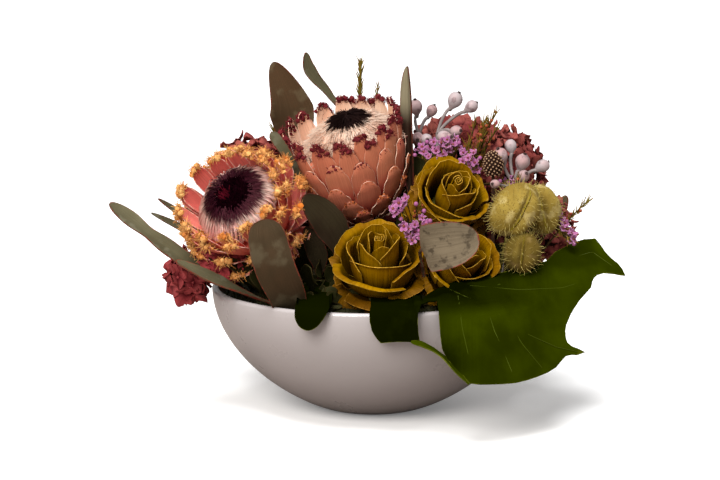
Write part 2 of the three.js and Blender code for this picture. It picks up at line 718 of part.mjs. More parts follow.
const GUM_NUTS = {
  tall: {
    foot: V(42, 8, 78),
    fork: V(48, 8, 204),
    nuts: [
      { at: V(61, 10, 228), r: 7 },
      { at: V(73, 10, 223), r: 6 },
      { at: V(55, -6, 200), r: 6, from: V(46, 8, 190) },
    ],
  },
  beside: {
    foot: V(34, 20, 78),
    fork: V(35, 21, 200),
    nuts: [
      { at: V(32, 20, 222), r: 6.5 },
      { at: V(44, 22, 219), r: 5.5 },
    ],
  },
  right: {
    foot: V(92, -20, 78),
    fork: V(104, -20, 168),
    nuts: [
      { at: V(104, -10, 195), r: 5.5 },
      { at: V(112, -18, 184), r: 7 },
      { at: V(112, -30, 175), r: 5.5 },
      { at: V(127, -16, 181), r: 6 },
    ],
  },
};

const WAX_FLOWERS = {
  above_rose: { foot: V(60, 4, 80), centre: V(54, -16, 190), radii: [20, 10, 12], count: 8, size: 10 },
  beside_rose: { foot: V(84, -8, 80), centre: V(77, -20, 184), radii: [8, 8, 11], count: 4, size: 10 },
  between_roses: {
    foot: V(30, -40, 80), centre: V(31, -76, 150), radii: [11, 14, 20], count: 6, size: 10, low: -0.6,
  },
  low_right: {
    foot: V(88, -28, 82), via: V(118, -28, 120), centre: V(149, -34, 136), radii: [10, 8, 16], count: 6,
    size: 9, low: -0.9,
  },
};

const TWIGS = {
  behind_protea: { foot: V(-2, 54, 84), tip: V(-9, 57, 256), from: 0.72, count: 13, length: 9, splay: 4 },
  above_wax: { foot: V(66, 16, 84), tip: V(84, -4, 220), from: 0.66, count: 15, length: 11, splay: 6 },
  far_right: { foot: V(100, -22, 84), tip: V(158, -22, 158), from: 0.5, count: 12, length: 8, splay: 6 },
};

const PODS = {
  upper: {
    centre: V(100, -60, 156), axis: V(0.45, 0.1, 0.85), radii: [17, 15, 21], roll: -1.2, hairs: 18,
    foot: V(84, -44, 78),
  },
  rear: {
    centre: V(122, -34, 152), axis: V(-0.25, 0, 1), radii: [12, 13, 18], roll: -1.6, hairs: 14,
    foot: V(94, -42, 78),
  },
  lower: {
    centre: V(108, -66, 124), axis: V(0.1, 0, 1), radii: [13, 12, 12], roll: -1.6, hairs: 11,
    foot: V(88, -52, 78),
  },
};

const SEED_HEADS = {
  by_rose: { centre: V(92, -26, 183), radii: [8, 8, 12], count: 14, foot: V(88, -22, 80) },
  by_protea: { centre: V(22, 32, 204), radii: [7, 7, 14], count: 12, foot: V(24, 30, 80) },
};

const arrangement = new THREE.Group();
const placed = [];
const sockets = [];

/** True where a solid keeps the clearance to each of the others. */
const isClear = (solid, others) => others.every((o) => solid.minGap(o, 2 * GAP) > GAP);
const hasRoom = (solid) => isClear(solid, placed);

/** Adds one piece: a solid in its own frame, with the matrix that places it. */
function add(name, solid, colour, roughness, matrix = new THREE.Matrix4()) {
  const material = new THREE.MeshStandardMaterial({ color: colour, roughness, metalness: 0 });
  const mesh = new THREE.Mesh(geometryOf(solid), material);
  mesh.name = name;
  matrix.decompose(mesh.position, mesh.quaternion, mesh.scale);
  arrangement.add(mesh);
  placed.push(moved(solid, matrix));
}

/** Bores a hole in the foam for a stem that runs from the flower down to its foot. */
function socket(foot, from, radius) {
  const way = foot.clone().sub(from).normalize();
  const end = foot.clone().addScaledVector(way, STEM.floor);
  const bore = (radius + GAP) / Math.cos(Math.PI / STEM.boreSides);
  sockets.push(rod(from, end, bore, bore, STEM.boreSides));
}

/** A head fused with its stem, in the head's own frame, and the matrix that places it. */
function withStem(head, { base, axis, roll, foot }, radius) {
  const place = standing(base, axis, roll);
  const stem = rod(foot.clone().applyMatrix4(place.clone().invert()), V(0, 0, 1), radius);
  socket(foot, base, radius);
  return [fuse([head, stem]), place];
}

for (const [where, p] of Object.entries(PROTEAS)) {
  const [colour, wool, dark] =
    where === "top"
      ? [COLOURS.salmon, COLOURS.wool, COLOURS.black]
      : [COLOURS.coral, COLOURS.styles, COLOURS.plum];
  const [solid, place] = withStem(proteaBracts(p), p, STEM.protea);
  add(`protea_${where}_bracts`, solid, colour, 0.7, place);
  add(`protea_${where}_styles`, proteaStyles(p), wool, 0.9, place);
  add(`protea_${where}_crown`, proteaCrown(p), dark, 0.9, place);
}
for (const [where, r] of Object.entries(ROSES)) {
  const [solid, place] = withStem(rose(r.size), r, STEM.rose);
  add(`rose_${where}`, solid, COLOURS.gold, 0.55, place);
}
add("cut_leaf", cutLeaf(), COLOURS.deepLeaf, 0.35);
socket(PETIOLE.foot, PETIOLE.from, PETIOLE.radius);
for (const [where, l] of Object.entries(LEAVES)) {
  add(`leaf_${where}`, leaf(l), COLOURS.sage, 0.6);
  socket(l.base, leafLine(l).getPoint(0.24), 2.6 + 0.1 * l.width);
}
for (const [where, g] of Object.entries(GUM_NUTS)) {
  add(`gum_nuts_${where}`, gumNuts(g), COLOURS.nut, 0.6);
  socket(g.foot, g.fork, 1.9);
}
for (const [where, p] of Object.entries(PODS)) {
  add(`pod_${where}`, pod(p, hasRoom), COLOURS.pod, 0.8);
  socket(p.foot, p.centre, POD.stalk);
}
for (const [where, s] of Object.entries(SEED_HEADS)) {
  add(`seed_head_${where}`, seedHead(s, hasRoom), COLOURS.bead, 0.8);
  socket(s.foot, s.centre, 1.4);
}
for (const [where, w] of Object.entries(WAX_FLOWERS)) {
  add(`wax_flower_${where}`, waxFlower(w, hasRoom), COLOURS.pink, 0.7);
  socket(w.foot, w.via ?? w.centre, 1.2);
}
for (const [where, t] of Object.entries(TWIGS)) {
  add(`twig_${where}`, needleTwig(t, hasRoom), COLOURS.olive, 0.7);
  socket(t.foot, t.tip, 1.1);
}
add("bowl", bowl(), COLOURS.glaze, 0.2);
const cores = Object.values(HYDRANGEAS).map(hydrangeaCore);
Object.entries(HYDRANGEAS).forEach(([where, h], own) => {
  const others = cores.filter((_, k) => k !== own);
  const head = hydrangea(h, cores[own], (made) => hasRoom(made) && isClear(made, others));
  const via = h.via ?? h.centre;
  const stalk = [rod(h.foot, via, STEM.hydrangea)];
  if (h.via) stalk.push(rod(via, h.centre, STEM.hydrangea), egg(via, [2.4, 2.4, 2.4], 5, 4));
  add(`hydrangea_${where}`, fuse([head, ...stalk]), COLOURS.burgundy, 0.8);
  socket(h.foot, via, STEM.hydrangea);
});
add("foam", foam(sockets), COLOURS.foam, 0.95);

export default arrangement;
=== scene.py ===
"""Floral table centrepiece in a white glazed bowl.

Proteas, waxed roses, hydrangea, gum nuts, wax flower, hairy pods, leathery leaves and a cut-leaf
blade. Shapes are worked out in millimetres in the row frame (+X right, -Y front, +Z up, origin at
the middle of the bowl's foot) and turned into metres as each mesh is made.
"""

import math

import bpy
import numpy as np
from bpy.props import FloatProperty, FloatVectorProperty, IntProperty, PointerProperty
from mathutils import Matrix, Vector, geometry


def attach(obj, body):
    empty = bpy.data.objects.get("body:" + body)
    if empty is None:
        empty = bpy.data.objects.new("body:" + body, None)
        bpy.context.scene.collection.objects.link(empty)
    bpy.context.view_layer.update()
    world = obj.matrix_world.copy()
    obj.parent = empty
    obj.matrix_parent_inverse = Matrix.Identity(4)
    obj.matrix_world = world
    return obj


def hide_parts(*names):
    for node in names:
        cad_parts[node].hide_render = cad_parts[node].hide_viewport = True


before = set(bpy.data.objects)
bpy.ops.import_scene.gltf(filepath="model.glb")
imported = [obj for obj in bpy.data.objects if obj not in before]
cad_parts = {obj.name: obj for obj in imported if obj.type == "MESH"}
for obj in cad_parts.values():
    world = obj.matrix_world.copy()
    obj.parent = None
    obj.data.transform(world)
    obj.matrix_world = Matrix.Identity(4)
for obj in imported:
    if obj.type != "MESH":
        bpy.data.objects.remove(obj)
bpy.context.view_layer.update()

bl_info = {
    "name": "Floral table centrepiece",
    "version": (1, 0, 0),
    "blender": (4, 5, 0),
    "location": "3D View > Sidebar > Centrepiece",
    "description": "Builds a bowl of proteas, roses, hydrangea, pods and foliage",
    "category": "Add Mesh",
}

MM = 0.001
GOLDEN = math.pi * (3 - math.sqrt(5))
UP = np.array([0.0, 0.0, 1.0])
# the turn that random angles are drawn from
FULL_TURN = 6.28

# Sizes and places, in millimetres

BOWL = {"rim": 120.0, "height": 92.0, "foot": 36.0, "wall": 5.0, "fullness": 0.78}
DOME = [(113, 81), (111, 84), (92, 88), (62, 93), (30, 97), (0, 98)]
FOAM_SIDE = [(0, 8), (59, 10.5), (83, 26), (101, 46), (110, 66), (112.4, 80)]

PROTEAS = {
    "top": {
        "base": (-6, 20, 136),
        "axis": (-0.22, -0.31, 0.925),
        "radius": 45,
        "waist": 19,
        "seat": 46,
        "foot": (-2, 22, 78),
        "styles": {"radius": 33, "top": 82, "middle": 8, "aside": (5, 0, 3), "sway": 0},
        "tuft": 5.1,
        "longest_hair": 0.6,
        "rusty_rows": 4,
        "tufted_rows": 2,
        "close": 0,
        "seed": 21,
        # rows of bracts: count, turn as a share of a step, root and tip heights, width, lean
        "rows": [
            (8, 0.2, 1, 15, 13, 2.5),
            (10, 0.6, 5, 25, 14, 3),
            (11, 0.1, 12, 37, 16, 3),
            (12, 0.5, 22, 54, 18, 3),
            (14, 0.0, 32, 68, 18, 2.5),
            (15, 0.4, 40, 80, 15, 0.5),
            (16, 0.9, 46, 86, 14, -1.5),
        ],
    },
    "left": {
        "base": (-78, -15, 129),
        "axis": (-0.37, -0.7, 0.61),
        "radius": 41,
        "waist": 20,
        "seat": 40,
        "foot": (-58, 2, 76),
        "styles": {"radius": 28.5, "top": 66, "middle": 14.5, "aside": (-2.5, 0, -4), "sway": 6.5},
        "tuft": 5.6,
        "longest_hair": 0.85,
        "rusty_rows": 1,
        "tufted_rows": 4,
        "close": 8,
        "seed": 22,
        "rows": [
            (10, 0.45, -4, 6, 13, 23),
            (10, 0.2, -2, 14, 14, 20),
            (11, 0.6, 5, 30, 16, 15),
            (12, 0.1, 17, 47, 17, 10),
            (13, 0.5, 29, 62, 16, 5),
            (14, 0.0, 36, 69, 13, 0.5),
        ],
    },
}

ROSES = {
    "front": {
        "base": (3.5, -68, 103), "axis": (0, -0.46, 0.888), "size": 30, "roll": 0.4, "foot": (1, -50, 68)},
    "top": {
        "base": (53, -22, 148), "axis": (0.2, -0.68, 0.71), "size": 28, "roll": 1.6, "foot": (44, -8, 76)},
    "right": {
        "base": (57, -62, 106), "axis": (0.3, -0.66, 0.69), "size": 26, "roll": 2.9, "foot": (48, -50, 70)},
}
# layers of petals from the bud outwards: count, half width and first one as angles, ruffle, and the
# control points of the profile as (radius, height) in shares of the rose's size
ROSE_LAYERS = [
    (3, 1.30, 0.3, 0.005, [(0.05, 0.10), (0.26, 0.35), (0.28, 0.95), (0.20, 1.42)]),
    (3, 1.25, 1.3, 0.010, [(0.07, 0.06), (0.46, 0.15), (0.46, 0.90), (0.36, 1.38)]),
    (3, 1.30, 0.5, 0.018, [(0.08, 0.04), (0.72, 0.02), (0.64, 0.85), (0.62, 1.26)]),
    (3, 1.32, 1.7, 0.032, [(0.10, 0.02), (0.98, -0.08), (0.80, 0.72), (0.93, 1.06)]),
    (4, 1.00, 0.9, 0.06, [(0.10, 0.00), (0.92, -0.12), (0.84, 0.45), (0.96, 0.50)]),
    (4, 1.00, 0.2, 0.10, [(0.10, -0.02), (0.80, -0.16), (0.86, 0.20), (0.97, 0.02)]),
]
# ripples along a petal's rim: pace and share
PETAL_WAVES = ((4, 1.0), (9, 0.6), (17, 0.5), (26, 0.3))

# points of the midrib from root to tip, width, facing, and options of the outline
LEAVES = {
    "back_broad": (
        [(-34, 46, 84), (-50, 52, 150), (-59, 48, 195), (-63, 45, 222), (-75.5, 42, 254)], 34, (0.1, -1, 0),
        {"peak": 0.72, "blunt": 0.8}),
    "back_narrow": (
        [
            (-14, 50, 84), (-14, 58, 150), (-20, 60, 205), (-33, 60, 228), (-44, 58, 241), (-49, 57, 249.5),
            (-51, 56, 260.5)],
        9.5, (0.2, -1, 0.1), {"peak": 0.8, "start": 0.15, "blunt": 1.2}),
    "beside_right": (
        [(30, 4, 84), (30, -7, 170), (26, -8, 215), (25, -6, 254)], 11.5, (-0.7, -0.7, 0), {"fold": 0.62}),
    "beside_left": (
        [(-44, -18, 84), (-42, -20, 160), (-54, -30, 182), (-74, -31, 208)], 8, (0.3, -1, 0), {"peak": 0.93}
    ),
    "long_left": (
        [(-70, -42, 84), (-110, -62, 97), (-140, -58, 122), (-190, -42, 158)], 15, (-0.2, -0.5, 1),
        {"peak": 0.6, "neck": 0.35, "blunt": 5}),
    "low_left": (
        [(-66, -54, 84), (-92, -70, 97), (-112, -76, 108), (-140, -72, 121)], 11, (-0.2, -0.5, 1), {}),
    "front_broad": (
        [(-58, -80, 82), (-60, -97, 100), (-68, -105, 121), (-73.5, -104, 142), (-75, -101, 155)], 28,
        (0, -1, 0.1), {"peak": 0.5, "root": 0.85, "blunt": 3.6}),
    "middle_dark": (
        [(-18, -46, 84), (-24, -56, 140), (-26, -56, 142), (-50, -62, 166)], 24, (0.1, -1, 0.2), {}),
    "middle_low": ([(-40, -36, 84), (-38, -42, 118), (-49, -44, 141)], 15, (0, -1, 0.1), {}),
    "pointing_right": (
        [
            (38, -60, 84), (36, -76, 106), (33, -90, 124), (32, -108, 134), (38, -120, 138),
            (53, -125, 141.5), (71, -124, 145.5)],
        33, (0, -1, 0.1), {"peak": 0.72, "start": 0.53, "rise": 0.64, "fold": 0.05}),
    "small_left": ([(-84, 18, 84), (-124, 4, 124), (-164, -8, 146)], 6, (-0.2, -0.8, 0.6), {}),
    "small_left_upper": ([(-80, 28, 84), (-124, 18, 128), (-160, 4, 155)], 6, (-0.2, -0.8, 0.6), {}),
    "behind_left": ([(-36, 92, 84), (-42, 117, 112), (-58, 126, 166)], 28, (-0.2, 1, 0.2), {}),
    "behind_middle": ([(2, 100, 82), (2, 126, 106), (8, 130, 172)], 30, (0, 1, 0.2), {}),
    "behind_right": ([(38, 92, 84), (44, 118, 110), (58, 128, 160)], 26, (0.2, 1, 0.2), {}),
    "side_left": ([(-90, 42, 84), (-118, 54, 110), (-144, 62, 152)], 24, (-1, 0.6, 0.3), {}),
    "side_right": ([(92, 38, 84), (124, 50, 110), (150, 58, 150)], 24, (1, 0.6, 0.3), {}),
}

# single leaves that close gaps: root, tip
FILL = [
    ((30, -6, 92), (34, 8, 196)), ((40, -2, 92), (43, 12, 200)), ((48, 2, 92), (51, 10, 190)),
    ((24, 0, 92), (29, 10, 168)), ((-76, -38, 88), (-105, -54, 113)), ((-72, -44, 88), (-97, -64, 112)),
    ((-66, -50, 88), (-88, -74, 111)), ((-82, -26, 88), (-113, -38, 114)),
    ((-60, -56, 88), (-76, -82, 108)), ((-70, -36, 90), (-92, -56, 122)),
    ((-78, -40, 88), (-118, -58, 121)), ((-76, -44, 88), (-108, -68, 121)),
    ((-52, -58, 88), (-62, -86, 112)), ((-44, -60, 90), (-44, -86, 118)),
]

# centre, radii, count, size, lowest share, foot, via
HYDRANGEAS = {
    "low_left": ((-136, -28, 101), (13, 14, 15), 19, 20, -1.0, (-88, -26, 80), (-103, -27, 100)),
    "back_left": ((-92, 26, 168), (32, 32, 28), 46, 18, -0.6, (-72, 26, 76), None),
    "back_right": ((92, 36, 167), (36, 34, 37), 100, 17, -0.6, (64, 26, 76), None),
    "side_right": ((128, 3, 129), (21, 19, 28), 42, 15, -0.6, (84, 4, 76), None),
    "back_middle": ((6, 86, 134), (40, 30, 40), 56, 22, -0.7, (2, 62, 76), None),
    "back_far_left": ((-72, 74, 130), (38, 34, 38), 54, 22, -0.7, (-52, 54, 76), None),
    "back_far_right": ((78, 82, 124), (38, 34, 34), 52, 22, -0.7, (50, 58, 76), None),
}

# more florets of a head: centre, radii, count
EXTRA_FLORETS = {
    "back_right": [((62, 42, 192), (32, 20, 18), 34)],
    "back_left": [((-88, 20, 182), (20, 10, 9), 22), ((-68, 26, 180), (14, 8, 12), 14)],
    "low_left": [((-110, -52, 113), (13, 9, 9), 16)],
}

# foot, fork, nuts as (place, radius, start of its stalk)
GUM_NUTS = {
    "tall": (
        (42, 8, 78), (48, 8, 204),
        [((61, 10, 228), 7, None), ((73, 10, 223), 6, None), ((55, -6, 200), 6, (46, 8, 190))]),
    "beside": ((34, 20, 78), (35, 21, 200), [((32, 20, 222), 6.5, None), ((44, 22, 219), 5.5, None)]),
    "right": (
        (92, -20, 78), (104, -20, 168),
        [
            ((101, -10, 196), 5.5, None), ((109, -18, 185), 7, None), ((109, -30, 176), 5.5, None),
            ((124, -16, 182), 6, None)]),
}
# further nuts at pixels of the photo: column, row, depth, radius, the spray that carries it
EXTRA_NUTS = [
    (444, 137, -4, 6.5, "tall"), (456, 131, -2, 5.5, "tall"), (418, 139, 6, 6.5, "beside"),
    (426, 139, 4, 5.5, "beside"), (501, 155, -24, 6.5, "right"), (495, 184, -42, 4.5, "right"),
]

# foot, via, depth, flowers and buds at pixels of the photo
WAX_FLOWERS = {
    "above_rose": (
        (60, 4, 80), (55, -8, 176), -16,
        [
            (424, 152), (430, 147), (436, 151), (441, 143), (447, 140), (453, 145), (450, 151), (443, 155),
            (437, 158), (429, 157), (422, 147), (456, 139), (434, 142), (418, 150), (459, 148), (446, 148)],
        [(427, 142), (415, 155), (459, 143)]),
    "beside_rose": (
        (84, -8, 80), (79, -16, 168), -24,
        [
            (463, 153), (468, 158), (474, 153), (475, 163), (469, 166), (477, 170), (463, 161), (505, 183),
            (511, 180), (516, 184)],
        [(480, 158), (500, 181)]),
    "between_roses": (
        (30, -40, 80), (30, -66, 136), -88,
        [
            (406, 199), (403, 206), (393, 209), (415, 225), (409, 229), (426, 225), (421, 237), (408, 235),
            (399, 203), (415, 232), (396, 213), (422, 218), (404, 226), (412, 240)],
        [(401, 210), (401, 219), (419, 231), (416, 204), (424, 211), (430, 221)]),
    "low_right": (
        (88, -28, 82), (130, -30, 140), -34,
        [
            (558, 214), (561, 219), (565, 223), (568, 229), (571, 234), (573, 239), (563, 228), (567, 235),
            (556, 208), (570, 242)],
        [(560, 226), (574, 244), (553, 203)]),
}

# foot, tip, share of the stalk that is bare, count, length, splay
TWIGS = {
    "behind_protea": ((-2, 54, 84), (-9, 57, 251), 0.78, 60, 8, 3),
    "above_wax": ((66, 16, 84), (82, -3, 212), 0.72, 40, 9, 3.5),
    "far_right": ((100, -22, 84), (157, -22, 157), 0.62, 30, 7, 4),
}
# more needle tips: foot, tip at a pixel of the photo with its depth, bare share, count, length, splay
EXTRA_TWIGS = {
    "behind_protea": [
        ((-4, 54, 84), (378, 88, 57), 0.86, 26, 6, 2.5), ((-30, 50, 84), (273, 128, 52), 0.85, 22, 7, 4)],
    "above_wax": [
        ((77, 4, 172), (496, 114, -8), 0.3, 20, 8, 3), ((76, 5, 168), (489, 122, -10), 0.3, 18, 8, 3),
        ((74, 7, 160), (498, 128, -6), 0.3, 20, 8, 3), ((73, 8, 156), (476, 120, -4), 0.3, 18, 8, 3),
        ((73, 8, 156), (484, 136, -14), 0.3, 18, 8, 3), ((60, 10, 84), (468, 146, -8), 0.8, 20, 9, 4)],
    "far_right": [
        ((96, -24, 84), (518, 180, -46), 0.86, 16, 7, 3), ((30, -44, 84), (420, 206, -74), 0.8, 20, 6, 3)],
}

# centre, axis, radii, roll, hairs, foot
PODS = {
    "upper": ((100, -60, 156), (0.45, 0.1, 0.85), (17, 15, 21), -1.2, 300, (84, -44, 78)),
    "rear": ((122, -34, 152), (-0.25, 0, 1), (12, 13, 18), -1.6, 220, (94, -42, 78)),
    "lower": ((105, -66, 126), (0.1, 0, 1), (15, 12.5, 15), -1.6, 190, (88, -52, 78)),
}
SEED_HEADS = {
    "by_rose": ((87, -27, 184), (6.6, 6.6, 9.4), 120, (88, -22, 80)),
    "by_protea": ((22, 32, 204), (7, 7, 14), 130, (24, 30, 80)),
}

# The camera stands at the photo's viewing angle. The photo is 720 by 480 pixels.
PHOTO = {"width": 720, "height": 480}
CAMERA = {"target": (-9.7, 0.0, 124.4), "distance": 1400.0, "elevation": 9.0, "lens": 93.96, "sensor": 36.0}

# The blade hangs from this crest. Its outlines, veins and twisted strip are given in pixels.
CREST = [
    (-60, -117, 95.5), (-15, -121.5, 95.5), (35, -121, 97), (75, -104, 101), (118, -74, 107),
    (165, -45, 108), (192, -26, 100),
]
BLADE_FINGER = [
    (301, 284), (298, 296), (295.4, 306), (294.3, 315.7), (296, 322), (300, 328), (307.6, 331.5),
    (316, 328.5), (323, 320), (328, 311.6), (332, 302), (336, 292), (338, 284), (322, 281),
]
BLADE_MAIN = [
    (372, 300), (369.3, 312), (369.6, 322), (371.8, 331), (376, 338), (380.8, 343.3), (388, 342.6),
    (397, 342), (408, 342), (420.3, 343.5), (418.6, 334), (417.8, 323.6), (418, 314), (421, 305),
    (428, 302), (437, 301), (438.6, 311), (439.4, 323.6), (440.4, 337), (442, 349), (447, 359),
    (454.7, 368), (462, 376), (470, 383.5), (481, 384.6), (491.9, 384.4), (504, 384), (516.4, 382.8),
    (528, 380), (537.8, 376.7), (548, 372.5), (556, 367.5), (561, 361.5), (566, 356), (572, 354.6),
    (577.6, 355), (585.3, 352.2), (579, 349), (571.5, 346), (567.5, 342.5), (566, 338.4), (565.4, 330.8),
    (566.4, 325), (568.5, 320), (571, 314), (574.6, 307.8), (579, 301), (583.8, 295.6), (590.7, 287.9),
    (591.5, 284.5), (592, 281.8), (594, 278), (597.5, 274.9), (603.7, 273), (609, 273.4), (614.4, 274),
    (620, 275.2), (625, 275.7), (622, 269), (617.5, 263.4), (611, 258.5), (605, 252.7), (600, 245.5),
    (595, 239), (583.8, 239.7), (576, 242), (568.5, 245), (554.7, 252.7), (546, 262), (520, 268),
    (490, 276), (455, 282), (420, 286), (390, 290),
]
BLADE_VEINS = [
    [(450, 290), (486, 306), (508, 321), (529, 335), (556, 347), (578, 352)],
    [(458, 296), (462, 328), (466, 345), (472, 372)],
    [(486, 306), (494, 330), (512, 372)],
    [(508, 321), (522, 344), (542, 368)],
    [(470, 286), (520, 290), (562, 288), (588, 280)],
    [(520, 276), (560, 262), (592, 252), (612, 266)],
]
BLADE_TWIST = [(411, 341.5), (421, 343.5), (433, 349), (444, 357), (456, 370), (469, 384)]


# Numbers


def srgb(red, green, blue):
    """A display colour from 0 to 255 as a linear one."""
    c = np.array([red, green, blue]) / 255
    return tuple(float(x) for x in np.where(c <= 0.04045, c / 12.92, ((c + 0.055) / 1.055) ** 2.4))


def smooth(x, low, high):
    """0 below low, 1 above high, and 3t^2 - 2t^3 of the share t between."""
    t = np.clip((x - low) / (high - low), 0, 1)
    return t * t * (3 - 2 * t)


def mix(a, b, t):
    """a where t is 0 and b where t is 1."""
    return a + (b - a) * t


def unit(v):
    """Vectors divided by their lengths."""
    return v / np.maximum(np.linalg.norm(v, axis=-1, keepdims=True), 1e-9)


def heading(angles):
    """Level directions at angles."""
    return np.stack([np.cos(angles), np.sin(angles), 0 * angles], -1)


def raised(out, radius, height):
    """Points at a radius along level directions and at a height."""
    return out * np.reshape(radius, (-1, 1)) + UP * np.reshape(height, (-1, 1))


def seeded(name):
    """Random numbers that depend on a name alone."""
    return np.random.default_rng(sum(map(ord, name)))


def ripple(points, seed, scale):
    """Soft noise, about -1 to 1: three octaves, each the mean of four sines along random directions."""
    rng = np.random.default_rng(seed)
    total = 0.0
    for octave in range(3):
        waves = rng.normal(size=(3, 4)) * 2**octave / scale
        total = total + np.sin(points @ waves + rng.uniform(0, FULL_TURN, 4)).mean(-1) / 1.5**octave
    return total


def spread(count, low=-1.0, high=1.0):
    """Directions whose heights fall evenly from high to low while they turn by the golden angle."""
    k = np.arange(count)
    z = mix(high, low, (k + 0.5) / count)
    r = np.sqrt(np.maximum(1 - z * z, 0))
    return np.stack([r * np.cos(k * GOLDEN), r * np.sin(k * GOLDEN), z], -1)


def stands(axis, roll=0.0):
    """Rotation matrices: a roll about +Z, then the shortest turn that carries +Z to the axis."""
    a = unit(np.asarray(axis, float))
    x, y, z = a[..., 0], a[..., 1], a[..., 2]
    k = 1 / np.maximum(1 + z, 1e-6)
    turn = np.stack([1 - x * x * k, -x * y * k, x, -x * y * k, 1 - y * y * k, y, -x, -y, z], -1)
    roll = np.broadcast_to(np.asarray(roll, float), x.shape)
    c, s, o = np.cos(roll), np.sin(roll), np.zeros_like(x)
    spin = np.stack([c, -s, o, s, c, o, o, o, o + 1], -1)
    return turn.reshape(*x.shape, 3, 3) @ spin.reshape(*x.shape, 3, 3)


def turned(points, turns, bases):
    """Batches of local points (K, ..., 3) carried by rotations (K, 3, 3) to bases (K, 3)."""
    bases = np.asarray(bases, float).reshape((-1,) + (1,) * (points.ndim - 2) + (3,))
    return np.einsum("kij,k...j->k...i", turns, points) + bases


def carried(points, turn, base=(0, 0, 0)):
    """Points (n, ..., 3) carried by one rotation (1, 3, 3) to one base."""
    return turned(points[None], turn, base)[0]


def grid(nu, nv):
    """Two parameters on a grid: u from 0 to 1 along, v from -1 to 1 across."""
    return np.meshgrid(np.linspace(0, 1, nu), np.linspace(-1, 1, nv), indexing="ij")


def bezier(a, b, c, d, t):
    """Cubic curves with control points (K, 3) at the shares t, as (K, n, 3)."""
    a, b, c, d = (np.asarray(p, float)[..., None, :] for p in (a, b, c, d))
    t = np.asarray(t)[..., None]
    return a * (1 - t) ** 3 + 3 * b * t * (1 - t) ** 2 + 3 * c * t * t * (1 - t) + d * t**3


def stalk(foot, head, near, far, count, bow=0.0):
    """A curve from foot to head: its inner control points stand at two shares of the way, moved by bow."""
    foot, head = np.array(foot, float), np.array(head, float)
    inner = ([mix(foot, head, share) + bow] for share in (near, far))
    return bezier([foot], *inner, [head], np.linspace(0, 1, count))


def broken(line, count):
    """Points spread evenly over the legs of a broken line."""
    line = np.asarray(line, float)
    at = np.linspace(0, len(line) - 1, count)
    return np.stack([np.interp(at, np.arange(len(line)), column) for column in line.T], -1)


def camera_axes():
    """The camera's place and its right, up and forward directions."""
    e = math.radians(CAMERA["elevation"])
    forward = np.array([0, math.cos(e), -math.sin(e)])
    place = np.array(CAMERA["target"]) - CAMERA["distance"] * forward
    return place, np.array([1.0, 0, 0]), np.array([0, math.sin(e), math.cos(e)]), forward


def at_pixel(column, row, y):
    """The point at depth y on the ray through a pixel of the photo."""
    place, right, up, forward = camera_axes()
    focal = CAMERA["lens"] / CAMERA["sensor"] * PHOTO["width"]
    column, row = np.asarray(column, float), np.asarray(row, float)
    across = (column - PHOTO["width"] / 2) / focal
    down = (row - PHOTO["height"] / 2) / focal
    ray = forward + across[..., None] * right - down[..., None] * up
    return place + ray * ((np.asarray(y, float) - place[1]) / ray[..., 1])[..., None]


# Meshes

VALUES = ("along", "across", "tone", "margin")
# the distance to the margin on patches that have none
FAR_IN = 9.0
# profiles as (radius, height) from pole to pole
BALL = [(0, -1), (0.7, -0.7), (1, 0), (0.7, 0.7), (0, 1)]
EGG = [(0, -1), (0.6, -0.8), (1, 0), (0.6, 0.8), (0, 1)]


def hoops(first, rings, sides):
    """Numbers of the points on rings, of their neighbours ahead, and the quads between the rings."""
    at = first + np.arange(rings * sides).reshape(rings, sides)
    ahead = np.roll(at, -1, axis=1)
    return at, ahead, np.stack([at[:-1], ahead[:-1], ahead[1:], at[1:]], -1).reshape(-1, 4)


def capped(rings, sides):
    """Faces of rings between two poles: the quads, and fans of triangles round both poles."""
    at, ahead, quads = hoops(1, rings, sides)
    first, last = np.zeros(sides, int), np.full(sides, 1 + rings * sides)
    fans = [np.stack([first, ahead[0], at[0]], -1), np.stack([last, at[-1], ahead[-1]], -1)]
    return quads, np.concatenate(fans)


